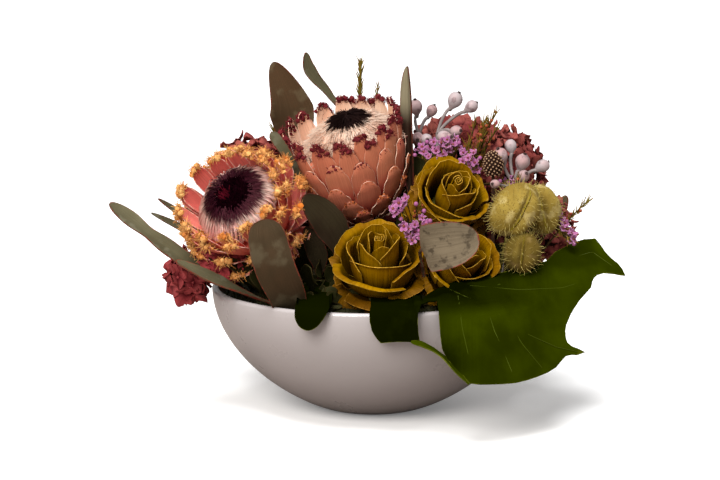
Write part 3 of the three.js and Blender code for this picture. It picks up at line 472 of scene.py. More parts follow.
class Piece:
    """Closed patches gathered into one mesh, with the values that the materials read at each point:
    along and across the patch, a tone for each patch, and the distance to its margin in mm."""

    def __init__(self):
        """An empty mesh."""
        self.points, self.corners, self.lengths, self.slots = [], [], [], []
        self.values = {name: [] for name in VALUES}
        self.count = 0

    def add(self, points, faces, slot=0, **values):
        """Adds points with blocks of faces, each in its material slot, and their values."""
        shape = points.shape[:-1]
        points = points.reshape(-1, 3)
        for k, block in enumerate(faces):
            self.corners.append((block + self.count).ravel())
            self.lengths.append(np.full(len(block), block.shape[1]))
            self.slots.append(np.full(len(block), slot[k] if isinstance(slot, (list, tuple)) else slot))
        for name in VALUES:
            value = np.broadcast_to(
                np.asarray(values.get(name, FAR_IN if name == "margin" else 0.0), float), shape)
            self.values[name].append(value.ravel())
        self.points.append(points)
        self.count += len(points)

    def sheets(self, middle, thickness, slot=0, under=None, **values):
        """Thin closed sheets over grids (K, nu, nv, 3): each point is moved by half the thickness
        along the surface's normal to both sides, and the two sides are joined round the margin."""
        normal = unit(np.cross(np.gradient(middle, axis=1), np.gradient(middle, axis=2)))
        lift = normal * (np.asarray(thickness, float) / 2)[..., None]
        count, nu, nv, _ = middle.shape
        side = nu * nv
        at = np.arange(side).reshape(nu, nv)
        top = np.stack([at[:-1, :-1], at[1:, :-1], at[1:, 1:], at[:-1, 1:]], -1).reshape(-1, 4)
        rim = []
        for edge, near in ((at[:, 0], side), (at[:, -1], 0), (at[0], 0), (at[-1], side)):
            a, b, far = edge[:-1], edge[1:], side - near
            rim.append(np.stack([a + near, b + near, b + far, a + far], -1))
        shift = (np.arange(count) * 2 * side)[:, None, None]
        faces = [
            (block[None] + shift).reshape(-1, 4)
            for block in (top, top[:, ::-1] + side, np.concatenate(rim))]
        slots = [slot, slot if under is None else under, slot]
        values["along"], values["across"] = grid(nu, nv)
        both = {
            k: np.broadcast_to(np.asarray(v, float), (count, nu, nv))[:, None] for k, v in values.items()}
        self.add(np.stack([middle + lift, middle - lift], 1), faces, slots, **both)

    def tubes(self, paths, radii, sides=3, slot=0, **values):
        """Closed tubes along paths (K, n, 3): a ring of points stands square to the path at each of
        its points, at the radius given there."""
        along = unit(np.gradient(paths, axis=1))
        upright = np.abs(along.mean(1, keepdims=True)[..., 2:]) > 0.9
        side = unit(np.cross(along, np.where(upright, [1.0, 0, 0], [0, 0, 1.0])))
        other = np.cross(along, side)
        count, n, _ = paths.shape
        radii = np.broadcast_to(np.asarray(radii, float), (count, n))[..., None, None]
        a = (np.arange(sides) * 2 * np.pi / sides)[:, None]
        ring = paths[:, :, None] + radii * (np.cos(a) * side[:, :, None] + np.sin(a) * other[:, :, None])
        at, _, wall = hoops(0, n, sides)
        shift = (np.arange(count) * n * sides)[:, None, None]
        caps = np.stack([at[0, ::-1], at[-1]])
        faces = [(wall[None] + shift).reshape(-1, 4), (caps[None] + shift).reshape(-1, sides)]
        values.setdefault("along", np.linspace(0, 1, n))
        rings = {k: np.broadcast_to(np.asarray(v, float), (count, n))[..., None] for k, v in values.items()}
        self.add(ring, faces, slot, **rings)

    def lathed(self, profile, scale, turns, bases, sides=12, slot=0, shape=None, **values):
        """Closed solids of revolution: a profile of (radius, height) from pole to pole is spun about
        +Z, scaled by (K, 3), reshaped if asked, and stood on its base."""
        profile = np.asarray(profile, float)
        scale = np.asarray(scale, float).reshape(-1, 3)
        count, rings = len(scale), len(profile) - 2
        a = np.arange(sides) * 2 * np.pi / sides
        r, z = profile[1:-1, 0, None], profile[1:-1, 1, None]
        wall = np.stack([r * np.cos(a), r * np.sin(a), z + 0 * a], -1).reshape(-1, 3)
        poles = np.array([[0, 0, profile[0, 1]], [0, 0, profile[-1, 1]]])
        local = np.concatenate([poles[:1], wall, poles[1:]])[None] * scale[:, None]
        if shape is not None:
            local = shape(local)
        quads, fans = capped(rings, sides)
        shift = (np.arange(count) * (rings * sides + 2))[:, None, None]
        faces = [(quads[None] + shift).reshape(-1, 4), (fans[None] + shift).reshape(-1, 3)]
        level = np.concatenate([[0], np.repeat(np.linspace(0, 1, rings), sides), [1]])
        values.setdefault("along", level)
        for key, value in values.items():
            value = np.asarray(value, float)
            values[key] = value[:, None] if value.shape == (count,) and count > 1 else value
        self.add(turned(local, turns, bases), faces, slot, **values)

    def build(self, name, materials, nodes=(), crease=50.0):
        """Makes the object in metres, gives it its materials, and lets it ride on the root body."""
        mesh = bpy.data.meshes.new(name)
        points = np.concatenate(self.points) * MM
        corners = np.concatenate(self.corners).astype(np.int32)
        lengths = np.concatenate(self.lengths).astype(np.int32)
        mesh.vertices.add(len(points))
        mesh.vertices.foreach_set("co", points.astype(np.float32).ravel())
        mesh.loops.add(len(corners))
        mesh.loops.foreach_set("vertex_index", corners)
        mesh.polygons.add(len(lengths))
        mesh.polygons.foreach_set(
            "loop_start", np.concatenate([[0], np.cumsum(lengths)[:-1]]).astype(np.int32))
        mesh.polygons.foreach_set("material_index", np.concatenate(self.slots).astype(np.int32))
        for key, blocks in self.values.items():
            attribute = mesh.attributes.new(key, "FLOAT", "POINT")
            attribute.data.foreach_set("value", np.concatenate(blocks).astype(np.float32))
        mesh.update(calc_edges=True)
        if mesh.validate():
            raise RuntimeError(f"{name} has faulty faces")
        mesh.shade_smooth()
        mesh.set_sharp_from_angle(angle=math.radians(crease))
        made = bpy.data.objects.new(name, mesh)
        bpy.context.scene.collection.objects.link(made)
        for material in materials:
            mesh.materials.append(material)
        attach(made, "root")
        if nodes:
            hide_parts(*nodes)


def hair_paths(roots, ways, lengths, rng, bend=0.3, curl=0.0, steps=4, droop=None):
    """Curved hairs: root + length (s way + bend s^2 side), with a sine sideways for curly ones."""
    s = np.linspace(0, 1, steps)[None, :, None]
    ways = unit(ways)
    side = unit(np.cross(ways, rng.normal(size=ways.shape)))
    other = np.cross(ways, side)
    lengths = np.broadcast_to(np.asarray(lengths, float), ways.shape[:1])[:, None, None]
    pull = side[:, None] * bend if droop is None else np.asarray(droop, float).reshape(-1, 1, 3)
    phase = rng.uniform(0, FULL_TURN, (len(ways), 1, 1))
    wave = curl * np.sin(s * 7 + phase) * s
    return roots[:, None] + lengths * (s * ways[:, None] + pull * s * s + wave * other[:, None])


# Materials


def link(tree, value, socket):
    """Sets a socket to a constant or joins it to another socket."""
    if isinstance(value, bpy.types.NodeSocket):
        tree.links.new(value, socket)
    elif hasattr(value, "__len__") and len(value) == 3 and len(socket.default_value) == 4:
        socket.default_value = (*value, 1)
    else:
        socket.default_value = value


def node(tree, kind, inputs=None, **settings):
    """Adds a node, with its settings and its inputs by name or number, and returns it."""
    made = tree.nodes.new(kind)
    for key, value in settings.items():
        setattr(made, key, value)
    for key, value in (inputs or {}).items():
        link(tree, value, made.inputs[key])
    return made


def blend_colours(tree, factor, a, b, mode="MIX"):
    """The colour a where the factor is 0 and b where it is 1."""
    made = node(tree, "ShaderNodeMix", data_type="RGBA", blend_type=mode)
    for value, index in ((factor, 0), (a, 6), (b, 7)):
        link(tree, value, made.inputs[index])
    return made.outputs[2]


def maths(tree, operation, a, b, clamp=False):
    """The result of an operation on two values, each a number or a socket."""
    return node(tree, "ShaderNodeMath", {0: a, 1: b}, operation=operation, use_clamp=clamp).outputs[0]


def times(tree, a, b):
    """The product of two values."""
    return maths(tree, "MULTIPLY", a, b)


def plus(tree, a, b, clamp=False):
    """The sum of two values."""
    return maths(tree, "ADD", a, b, clamp)


def opposite(tree, value):
    """1 less a value."""
    return maths(tree, "SUBTRACT", 1.0, value)


def reading(tree, name):
    """One of the values that the meshes carry at each point."""
    return node(tree, "ShaderNodeAttribute", attribute_name=name).outputs["Fac"]


def place_on(tree):
    """The place on the object, in its own axes."""
    return node(tree, "ShaderNodeTexCoord").outputs["Object"]


def ramp(tree, value, low, high):
    """0 below low and 1 above high, smoothly."""
    inputs = {"Value": value, "From Min": low, "From Max": high}
    return node(tree, "ShaderNodeMapRange", inputs, interpolation_type="SMOOTHSTEP").outputs["Result"]


def effect(name, inputs, make):
    """A node group that puts out one mask, built once: inputs are (name, default) pairs."""
    if name in bpy.data.node_groups:
        return bpy.data.node_groups[name]
    group = bpy.data.node_groups.new(name, "ShaderNodeTree")
    for key, default in inputs:
        group.interface.new_socket(
            key, in_out="INPUT", socket_type="NodeSocketFloat").default_value = default
    group.interface.new_socket("Mask", in_out="OUTPUT", socket_type="NodeSocketFloat")
    given, wanted = group.nodes.new("NodeGroupInput"), group.nodes.new("NodeGroupOutput")
    group.links.new(make(group, given.outputs), wanted.inputs["Mask"])
    return group


def blotches(group, given):
    """Cloudy noise over object coordinates, cut between Low and High."""
    where = place_on(group)
    noise = node(group, "ShaderNodeTexNoise", {"Vector": where, "Scale": given["Scale"], "Detail": 5.0})
    return ramp(group, noise.outputs["Fac"], given["Low"], given["High"])


def specks(group, given):
    """Small dark points: the cells of a Voronoi pattern that lie nearer than Size to their centres."""
    where = place_on(group)
    cells = node(group, "ShaderNodeTexVoronoi", {"Vector": where, "Scale": given["Scale"]})
    near = maths(group, "LESS_THAN", cells.outputs["Distance"], given["Size"])
    some = node(group, "ShaderNodeTexNoise", {"Vector": where, "Scale": 70.0})
    return times(group, near, ramp(group, some.outputs["Fac"], 0.48, 0.56))


def fibres(group, given):
    """Fine lines that run along a patch: a sine of the value across, shaken by noise."""
    across = reading(group, "across")
    along = reading(group, "along")
    tone = reading(group, "tone")
    where = node(group, "ShaderNodeCombineXYZ", {"X": times(group, across, given["Count"]), "Y": along})
    shift = node(group, "ShaderNodeCombineXYZ", {"Z": times(group, tone, 40.0)})
    both = {0: where.outputs[0], 1: shift.outputs[0]}
    shifted = node(group, "ShaderNodeVectorMath", both, operation="ADD").outputs[0]
    noise = node(group, "ShaderNodeTexNoise", {"Vector": shifted, "Scale": 1.0, "Detail": 3.0})
    return ramp(group, noise.outputs["Fac"], 0.35, 0.65)


def margins(group, given):
    """1 at the margin of a patch and 0 further in than Width, with a wandering inner line."""
    inward = reading(group, "margin")
    where = place_on(group)
    noise = node(
        group, "ShaderNodeTexNoise", {"Vector": where, "Scale": 260.0, "Detail": 2.0}).outputs["Fac"]
    edge = times(group, given["Width"], plus(group, noise, 0.5))
    inner = times(group, edge, 0.35)
    return opposite(group, ramp(group, inward, inner, edge))


EFFECTS = {
    "Blotches": ([("Scale", 60.0), ("Low", 0.35), ("High", 0.65)], blotches),
    "Specks": ([("Scale", 300.0), ("Size", 0.25)], specks),
    "Fibres": ([("Count", 20.0)], fibres),
    "Margins": ([("Width", 0.8)], margins),
}


def mask(tree, name, **values):
    """An effect placed in a material with its own values."""
    group = effect(name, *EFFECTS[name])
    made = node(tree, "ShaderNodeGroup", node_tree=group)
    for key, value in values.items():
        made.inputs[key].default_value = value
    return made.outputs["Mask"]


def tissue(
    name, main, other, tip=None, tip_from=(0.6, 1.0), root=None, root_to=(0.0, 0.35), rim=None,
    rim_width=0.8, mottle=60.0, lines=20.0, line_strength=0.25, speck=None, speck_scale=300.0,
    roughness=0.6, bump=0.25, specular=0.4, smudge_and_highlight=None, smudge_scale=100.0, depth=0.74
):
    """A plant surface: two main colours mixed by blotches and by each patch's tone, fine lines along
    it, other colours towards its root and tip (on several materials the root colour is painted shade),
    a worn coloured margin, smudges (on the pods partly painted highlights), and specks. All colours
    are multiplied by the depth."""
    given = (main, other, tip, root, rim, speck, smudge_and_highlight)
    deep = (None if colour is None else tuple(share * depth for share in colour) for colour in given)
    main, other, tip, root, rim, speck, smudge_and_highlight = deep
    material = bpy.data.materials.new(name)
    material.use_nodes = True
    tree = material.node_tree
    shader = tree.nodes["Principled BSDF"]
    along = reading(tree, "along")
    tone = reading(tree, "tone")
    cloud = mask(tree, "Blotches", Scale=mottle)
    share = plus(tree, times(tree, cloud, 0.5), times(tree, tone, 0.5), clamp=True)
    colour = blend_colours(tree, share, main, other)
    line = mask(tree, "Fibres", Count=lines)
    darker = blend_colours(tree, 1.0, colour, (0.45, 0.42, 0.40), mode="MULTIPLY")
    colour = blend_colours(tree, times(tree, line, line_strength), colour, darker)
    if root is not None:
        away = opposite(tree, ramp(tree, along, *root_to))
        colour = blend_colours(tree, away, colour, root)
    if tip is not None:
        colour = blend_colours(tree, ramp(tree, along, *tip_from), colour, tip)
    if rim is not None:
        fine = mask(tree, "Blotches", Scale=mottle * 9, Low=0.42, High=0.58)
        worn = plus(tree, times(tree, fine, 0.75), 0.25)
        edge = times(tree, mask(tree, "Margins", Width=rim_width), worn)
        colour = blend_colours(tree, edge, colour, rim)
    if smudge_and_highlight is not None:
        marks = mask(tree, "Blotches", Scale=smudge_scale, Low=0.52, High=0.64)
        colour = blend_colours(tree, times(tree, marks, 0.75), colour, smudge_and_highlight)
    if speck is not None:
        colour = blend_colours(tree, mask(tree, "Specks", Scale=speck_scale), colour, speck)
    tree.links.new(colour, shader.inputs["Base Color"])
    rough = plus(tree, times(tree, cloud, 0.14), roughness - 0.07, clamp=True)
    tree.links.new(rough, shader.inputs["Roughness"])
    shader.inputs["Specular IOR Level"].default_value = specular
    strongest = max(max(other), 1e-3)
    shader.inputs["Specular Tint"].default_value = (*(0.15 + 0.85 * c / strongest for c in other), 1)
    relief = plus(tree, times(tree, line, 0.7), times(tree, cloud, 0.5))
    made = node(tree, "ShaderNodeBump", {"Height": relief, "Strength": bump, "Distance": 0.0006})
    tree.links.new(made.outputs["Normal"], shader.inputs["Normal"])
    return material


def glaze(colour):
    """A white glaze: warm where it pools, with a few pinholes under a glossy coat."""
    material = bpy.data.materials.new("glaze")
    material.use_nodes = True
    tree = material.node_tree
    shader = tree.nodes["Principled BSDF"]
    warm = tuple(c * k for c, k in zip(colour, (0.97, 0.955, 0.95)))
    base = blend_colours(tree, mask(tree, "Blotches", Scale=9.0, Low=0.2, High=0.8), colour, warm)
    pin = mask(tree, "Specks", Scale=190.0, Size=0.06)
    base = blend_colours(tree, times(tree, pin, 0.5), base, (0.16, 0.11, 0.09))
    tree.links.new(base, shader.inputs["Base Color"])
    uneven = mask(tree, "Blotches", Scale=30.0, Low=0.1, High=0.9)
    tree.links.new(plus(tree, times(tree, uneven, 0.06), 0.26), shader.inputs["Roughness"])
    shader.inputs["Coat Weight"].default_value = 0.3
    shader.inputs["Coat Roughness"].default_value = 0.1
    made = node(tree, "ShaderNodeBump", {"Height": uneven, "Strength": 0.02, "Distance": 0.0003})
    tree.links.new(made.outputs["Normal"], shader.inputs["Normal"])
    return material


# Bowl and moss


def bowl_radius(z):
    """The outer radius: foot + (rim - foot) (1 - (1 - z/height)^2)^fullness."""
    t = 1 - np.clip(np.asarray(z, float) / BOWL["height"], 0, 1)
    return BOWL["foot"] + (BOWL["rim"] - BOWL["foot"]) * (1 - t**2) ** BOWL["fullness"]


def make_bowl(settings):
    """The bowl: its profile runs from the foot up the outside, round the lip and down the inside."""
    wall, rim, height = BOWL["wall"], BOWL["rim"], BOWL["height"]
    lip = wall / 2
    share = np.linspace(0, 1, 34)
    z = (height - lip) * share**1.6
    outside = np.stack([bowl_radius(z), z], -1)
    a = np.linspace(0, math.pi, 11)[1:-1]
    edge = np.stack([rim - lip + lip * np.cos(a), height - lip + lip * np.sin(a)], -1)
    down = np.linspace(height - lip, wall + 4, 22)
    within = np.stack([bowl_radius(down) - wall, down], -1)
    foot = [(0, 0), (BOWL["foot"] - 1.5, 0)]
    profile = np.concatenate([foot, outside[1:], edge, within, [(0, wall + 2)]])
    piece = Piece()
    piece.lathed(profile, (1, 1, 1), stands([UP]), [[0, 0, 0]], sides=144)
    piece.build("glazed_bowl", [glaze(settings.glaze)], ["bowl"], crease=60)


def moss_height(r):
    """The dome's height at a radius."""
    radii, heights = zip(*DOME[::-1])
    return np.interp(r, radii, heights)


def make_moss(settings):
    """A dome of moss over the foam: the foam's profile, roughened by noise on top, with short blades."""
    r = np.linspace(112, 0, 34)
    profile = np.concatenate([FOAM_SIDE, np.stack([r, moss_height(r)], -1)])

    def rough(points):
        """Points of the top, lifted by broad and fine noise."""
        lift = 2.2 * ripple(points, 3, 9.0) + 1.2 * ripple(points, 4, 3.0)
        return points + UP * (smooth(points[..., 2], 80, 86) * lift)[..., None]

    piece = Piece()
    piece.lathed(profile, (1, 1, 1), stands([UP]), [[0, 0, 0]], sides=110, shape=rough)
    rng = np.random.default_rng(11)
    n = settings.blades
    radius = 110 * np.sqrt(rng.uniform(0, 1, n))
    roots = raised(heading(rng.uniform(0, FULL_TURN, n)), radius, moss_height(radius) - 1.5)
    ways = UP + rng.normal(size=(n, 3)) * 0.6
    ways[:, 2] = np.abs(ways[:, 2]) + 0.2
    paths = hair_paths(roots, ways, rng.uniform(4, 10, n), rng, bend=0.4)
    piece.tubes(paths, np.linspace(0.6, 0.15, 4), tone=rng.uniform(0, 1, (n, 1)))
    paler = tuple(c * 1.9 for c in settings.colour)
    moss = tissue("moss", settings.colour, paler, roughness=0.9, mottle=140.0)
    piece.build("moss_bed", [moss], ["foam"])


# Proteas


def goblet(p, z):
    """The goblet's radius: radius (1 - exp(-(z + 5) / waist))."""
    return p["radius"] * (1 - np.exp(-(z + 5) / p["waist"]))


def bract_points(p, row, angle, reach, lean, u, v):
    """A bract's surface: it climbs from its root to its tip over the goblet, stands off it by
    lean u^0.7, closes in at the tip, and is widest at half its height."""
    count, _, low, high, width, _ = row
    z = mix(low, high + reach, u)
    r = goblet(p, np.minimum(z, high)) + mix(-3.0, lean, u**0.7)
    outline = (0.72 + 0.28 * smooth(u, 0, 0.45)) * np.sqrt(1 - (0.88 * smooth(u, 0.55, 1.05)) ** 2)
    half = np.minimum(width / 2, 1.08 * np.pi * r / count) * outline
    r = r - 1.4 * smooth(u, 0.85, 1) - 0.9 * v * v
    a = angle + v * half / r
    z = z - 0.5 * half * v * v * smooth(u, 0.6, 1)
    return np.stack([r * np.cos(a), r * np.sin(a), z], -1), half


# profile of a lump of wool, and the radius of the left head's maroon heart
LUMP = [(0, -1), (0.62, -0.75), (1, -0.1), (0.72, 0.65), (0, 1)]
HEART = 4.2
# names of the pieces that hold the styles
PROTEA_RINGS = {"top": "top_protea_wool", "left": "left_protea_styles"}


def crumple(points):
    """Pushes a small ball's surface in and out by soft noise."""
    return points * (1 + 0.3 * ripple(points, 9, 1.1))[..., None]


def add_bracts(bracts, p, index, turn, base, rng):
    """One row of bracts round the goblet. On a head that closes, bracts that face up lean in over the
    styles. Returns the row's angles, reaches and leans, which its tufts share."""
    row = p["rows"][index]
    count = row[0]
    k = np.arange(count)
    angle = ((k + row[1]) * 2 * np.pi / count + rng.normal(0, 0.02, count))[:, None, None]
    reach = rng.normal(0, 1.5, count)[:, None, None]
    axes = carried(np.eye(3), turn)
    upward = (np.cos(angle) * axes[0, 2] + np.sin(angle) * axes[1, 2])[:, 0, 0]
    rows_above = len(p["rows"]) - 1 - index
    closed = p["close"] * smooth(upward, 0.0, 0.7) * max(0.0, 1 - 0.45 * rows_above)
    lean = (row[5] - closed + (k % 2) * 0.9 + rng.normal(0, 0.6, count))[:, None, None]
    u, v = grid(12, 7)
    local, half = bract_points(p, row, angle, reach, lean, u[None], v[None])
    margin = np.minimum(half * (1 - np.abs(v)), (row[3] - row[2]) * (1 - u))
    tone = rng.uniform(0, 1, count)[:, None, None]
    thick = np.broadcast_to(mix(1.1, 0.6, np.abs(v)) * (1 - 0.3 * u), local.shape[:3])
    bracts.sheets(turned(local, turn, base), thick, slot=4, under=0, tone=tone, margin=margin)
    return angle[..., 0], reach[..., 0], lean[..., 0]


def add_tufts(bracts, p, index, placing, hairs, turn, base, rng):
    """The woolly tips of one row: crumpled lumps and fine hairs along the upper edge of each bract."""
    row = p["rows"][index]
    count = row[0]
    wool = 3 if index < p["rusty_rows"] else 1
    full = index >= len(p["rows"]) - p["tufted_rows"]
    size = p["tuft"] * np.where(full | (rng.uniform(0, 1, count) < 0.6), 1.0 if full else 0.6, 0.3)
    lumps = 9
    u = rng.uniform(0.92, 1.0, (count, lumps))
    v = np.linspace(-0.8, 0.8, lumps) + rng.normal(0, 0.1, (count, lumps))
    at, _ = bract_points(p, row, *placing, u, v)
    outward = unit(at * [1, 1, 0]) * rng.uniform(-0.6, 1.0, (count, lumps, 1))
    at = at + outward + rng.normal(0, 0.4, at.shape)
    n = count * lumps
    scale = np.repeat(size, lumps)[:, None] * rng.uniform(0.22, 0.42, (n, 1))
    scale = scale * rng.uniform(0.8, 1.25, (n, 3))
    turns, places = stands(rng.normal(size=(n, 3))), carried(at.reshape(n, 3), turn, base)
    bracts.lathed(LUMP, scale, turns, places, sides=6, slot=wool, shape=crumple, tone=rng.uniform(0, 1, n))
    hairs = hairs if full else hairs // 3
    n = count * hairs
    u = rng.uniform(0.88, 1.0, (count, hairs))
    v = rng.uniform(-0.98, 0.98, (count, hairs))
    roots, _ = bract_points(p, row, *placing, u, v)
    ways = unit(roots * [1, 1, 0]) * rng.uniform(-0.6, 1.0, (count, hairs, 1))
    ways = ways + rng.normal(0, 0.6, (count, hairs, 3)) + [0, 0, 0.5]
    length = size[:, None] * rng.uniform(0.25, p["longest_hair"], (count, hairs))
    paths = hair_paths(roots.reshape(n, 3), ways.reshape(n, 3), length.ravel(), rng, bend=0.9, steps=3)
    radii = np.array([0.2, 0.19, 0.1])
    bracts.tubes(carried(paths, turn, base), radii, slot=wool, tone=rng.uniform(0, 1, (n, 1)))


def bract_materials(where, settings):
    """The materials of a head's bracts: skin, wool, stem, rusty wool and lining."""
    bract = {"lines": 26.0, "line_strength": 0.3, "roughness": 0.5, "specular": 0.15}
    lining = {"lines": 22.0, "line_strength": 0.35, "mottle": 40.0, "specular": 0.15, "depth": 0.95}
    woolly = {"roughness": 0.9, "specular": 0.1}
    rust = tissue("rust_wool", srgb(170, 78, 44), srgb(208, 122, 74), roughness=0.85, mottle=160.0)
    green = tissue("protea_stem", srgb(74, 66, 34), srgb(96, 80, 44), roughness=0.7)
    if where == "top":
        # The root colour darkens each bract towards its root: partly the bracts' own deeper pink, partly
        # painted shade where each row tucks under the next.
        skin = tissue(
            "salmon_bract", settings.top_bract, srgb(255, 166, 124), root=srgb(210, 74, 66),
            root_to=(0.0, 0.6), rim=srgb(250, 196, 168), rim_width=0.4, mottle=18.0, depth=0.56, **bract)
        inner = tissue(
            "pale_bract_lining", srgb(255, 226, 200), srgb(255, 196, 162), rim=srgb(255, 220, 198),
            rim_width=0.6, **lining)
        wool = tissue(
            "maroon_wool", srgb(104, 28, 38), srgb(142, 58, 60), mottle=160.0, depth=0.6, **woolly)
    else:
        skin = tissue(
            "coral_bract", settings.left_bract, srgb(234, 128, 108), root=srgb(176, 58, 48),
            root_to=(0.0, 0.4), rim=srgb(255, 206, 188), rim_width=0.6, mottle=26.0, depth=0.85, **bract)
        inner = tissue(
            "coral_bract_lining", srgb(246, 142, 128), srgb(232, 112, 104), rim=srgb(255, 206, 186),
            **lining)
        # The paler second colour, spread at random over the lumps, is partly the wool's own paler gold,
        # partly painted highlight.
        wool = tissue(
            "golden_wool", srgb(222, 124, 48), srgb(255, 204, 130), mottle=90.0, depth=0.68, **woolly)
    return [skin, wool, green, rust, inner]


def make_protea(where, settings):
    """One head: rows of bracts with woolly tips on a cup, a ring or dome of styles, and a dark middle."""
    p = PROTEAS[where]
    rng = np.random.default_rng(p["seed"])
    turn, base = stands([p["axis"]]), [p["base"]]
    bracts = Piece()
    heights = np.linspace(0, p["seat"] - 0.5, 8)
    cup = [(0, -4), (6, -4), *zip(goblet(p, heights) - 3, heights), (0, p["seat"] - 0.5)]
    bracts.lathed(cup, (1, 1, 1), turn, base, sides=28)
    bracts.tubes(broken([p["foot"], p["base"]], 5)[None], 5.0, sides=10, slot=2)
    for index in range(len(p["rows"])):
        placing = add_bracts(bracts, p, index, turn, base, rng)
        add_tufts(bracts, p, index, placing, settings.tuft_hairs, turn, base, rng)
    materials = bract_materials(where, settings)
    bracts.build(f"{where}_protea_bracts", materials, [f"protea_{where}_bracts"])
    make_styles(where, p, turn, base, rng, settings)


def swayed(points, p, sway):
    """Points in a goblet, moved by the sway: not at all at the seat, and in full at the styles' top."""
    return points + sway * smooth(points[..., 2:], p["seat"], p["styles"]["top"])


def make_styles(where, p, turn, base, rng, settings):
    """The styles inside a goblet, on a low dome, and the dark middle that they stand round."""
    given = p["styles"]
    radius, top, middle, seat = given["radius"], given["top"], given["middle"], p["seat"]
    base = np.array(base) + given["aside"]
    shoulder = [
        (radius, mix(seat, top, 0.3)),
        (radius * 0.9, mix(seat, top, 0.6)),
        (mix(middle, radius, 0.45), mix(seat, top, 0.88)),
    ]
    profile = [
        (0, seat), (radius - 6, seat), *shoulder, (middle + 1, top - 1), (middle, top - 2), (0, top - 4)]
    sway = given["sway"] * (carried(np.eye(3), turn) @ [1.0, 0, 0])

    def bumpy(points):
        """Swayed points with fine bumps."""
        return swayed(points + 0.4 * ripple(points, 5, 3.0)[..., None], p, sway)

    styles = Piece()
    shade = 0.2 if where == "top" else 0.7
    styles.lathed(profile, (1, 1, 1), turn, base, sides=40, tone=0.3, along=shade, shape=bumpy)
    n = settings.styles
    out = heading(rng.uniform(0, FULL_TURN, n))
    s = np.sqrt(rng.uniform(0, 1, n))
    if where == "left":
        height = mix(seat + 8, seat + 13, rng.uniform(0, 1, n))
        roots = raised(out, mix(radius - 6, radius + 1.5, s), height)
        tips = raised(out, mix(middle - 2, middle + 5, rng.uniform(0, 1, n)), top + rng.uniform(1, 6, n))
        tips = tips + rng.normal(0, 1.0, tips.shape)
        lean = raised(out, rng.uniform(1, 6, n), 9)
        t = np.linspace(0, 1, 7)
        paths = bezier(roots, roots + lean, mix(roots, tips, 0.65) + UP * 5 + out * 2, tips, t)
        radii = np.interp(t, [0, 0.6, 1], [0.42, 0.36, 0.28])
        skin = tissue(
            "pink_styles", srgb(252, 232, 216), srgb(232, 160, 152), root=srgb(252, 232, 214),
            tip=srgb(58, 12, 30), tip_from=(0.56, 0.82), mottle=120.0)
    else:
        r = mix(middle - 1, radius - 1, s)
        at, height = zip((middle, top - 1), *shoulder[::-1])
        roots = raised(out, r, np.interp(r, at, height) - 0.6)
        ways = raised(out, mix(0.5, 0.8, s), 0.8) + rng.normal(0, 0.22, (n, 3))
        droop = raised(out, 0.35, -0.75)
        paths = hair_paths(roots, ways, rng.uniform(5, 11, n), rng, curl=0.08, droop=droop)
        radii = np.array([0.34, 0.32, 0.26, 0.14])
        skin = tissue(
            "cream_wool", srgb(248, 226, 206), srgb(232, 184, 158), root=srgb(226, 170, 140), roughness=0.8,
            specular=0.1, depth=0.68)
    paths = carried(swayed(paths, p, sway), turn, base)
    styles.tubes(paths, radii, tone=rng.uniform(0, 1, (n, 1)))
    styles.build(PROTEA_RINGS[where], [skin], [f"protea_{where}_styles"])
    make_middle(where, p, sway, turn, base, rng, settings.dark_hairs)


def make_middle(where, p, sway, turn, base, rng, n):
    """The dark middle of a head: short hairs on a dome, with a maroon heart in the left head."""
    top, middle = p["styles"]["top"], p["styles"]["middle"]
    crown = Piece()
    dome = [
        (0, top - 4), (middle - 0.6, top - 4), (middle * 0.9, top + 1), (middle * 0.55, top + 3.5),
        (0, top + 4)]
    crown.lathed(dome, (1, 1, 1), turn, base, sides=24, shape=lambda points: swayed(points, p, sway))
    r = middle * 0.97 * np.sqrt(rng.uniform(0, 1, n))
    out = heading(rng.uniform(0, FULL_TURN, n))
    roots = raised(out, r, top + 3 - 3.5 * (r / middle) ** 2)
    if where == "top":
        ways = raised(out, 0.3 + 1.5 * r / middle, 0.8) + rng.normal(0, 0.2, (n, 3))
        paths = hair_paths(roots, ways, rng.uniform(3, 10, n), rng, droop=raised(out, 0.35, -0.6))
        heart = np.zeros(n, bool)
        skins = [
            tissue(
                "black_styles", srgb(20, 12, 12), srgb(36, 22, 20), roughness=0.8, specular=0.05,
                mottle=120.0)]
    else:
        ways = raised(out, 0.35 * r / middle, 1) + rng.normal(0, 0.2, (n, 3))
        paths = hair_paths(roots, ways, rng.uniform(3.5, 6.5, n), rng, bend=0.2)
        heart = np.linalg.norm(roots[:, :2] + sway[:2], axis=-1) < HEART
        skins = [
            tissue(
                "purple_styles", srgb(20, 2, 9), srgb(38, 7, 18), roughness=0.85, specular=0.02,
                mottle=120.0, depth=0.6),
            tissue("maroon_heart", srgb(92, 14, 32), srgb(108, 26, 40), roughness=0.8, specular=0.05)]
    paths = carried(swayed(paths, p, sway), turn, base)
    for slot, some in ((0, ~heart), (1, heart)):
        if some.any():
            tone = rng.uniform(0, 1, (int(some.sum()), 1))
            crown.tubes(paths[some], np.linspace(0.45, 0.2, 4), slot=slot, tone=tone)
    crown.build(f"{where}_protea_middle", skins, [f"protea_{where}_crown"])


# Roses


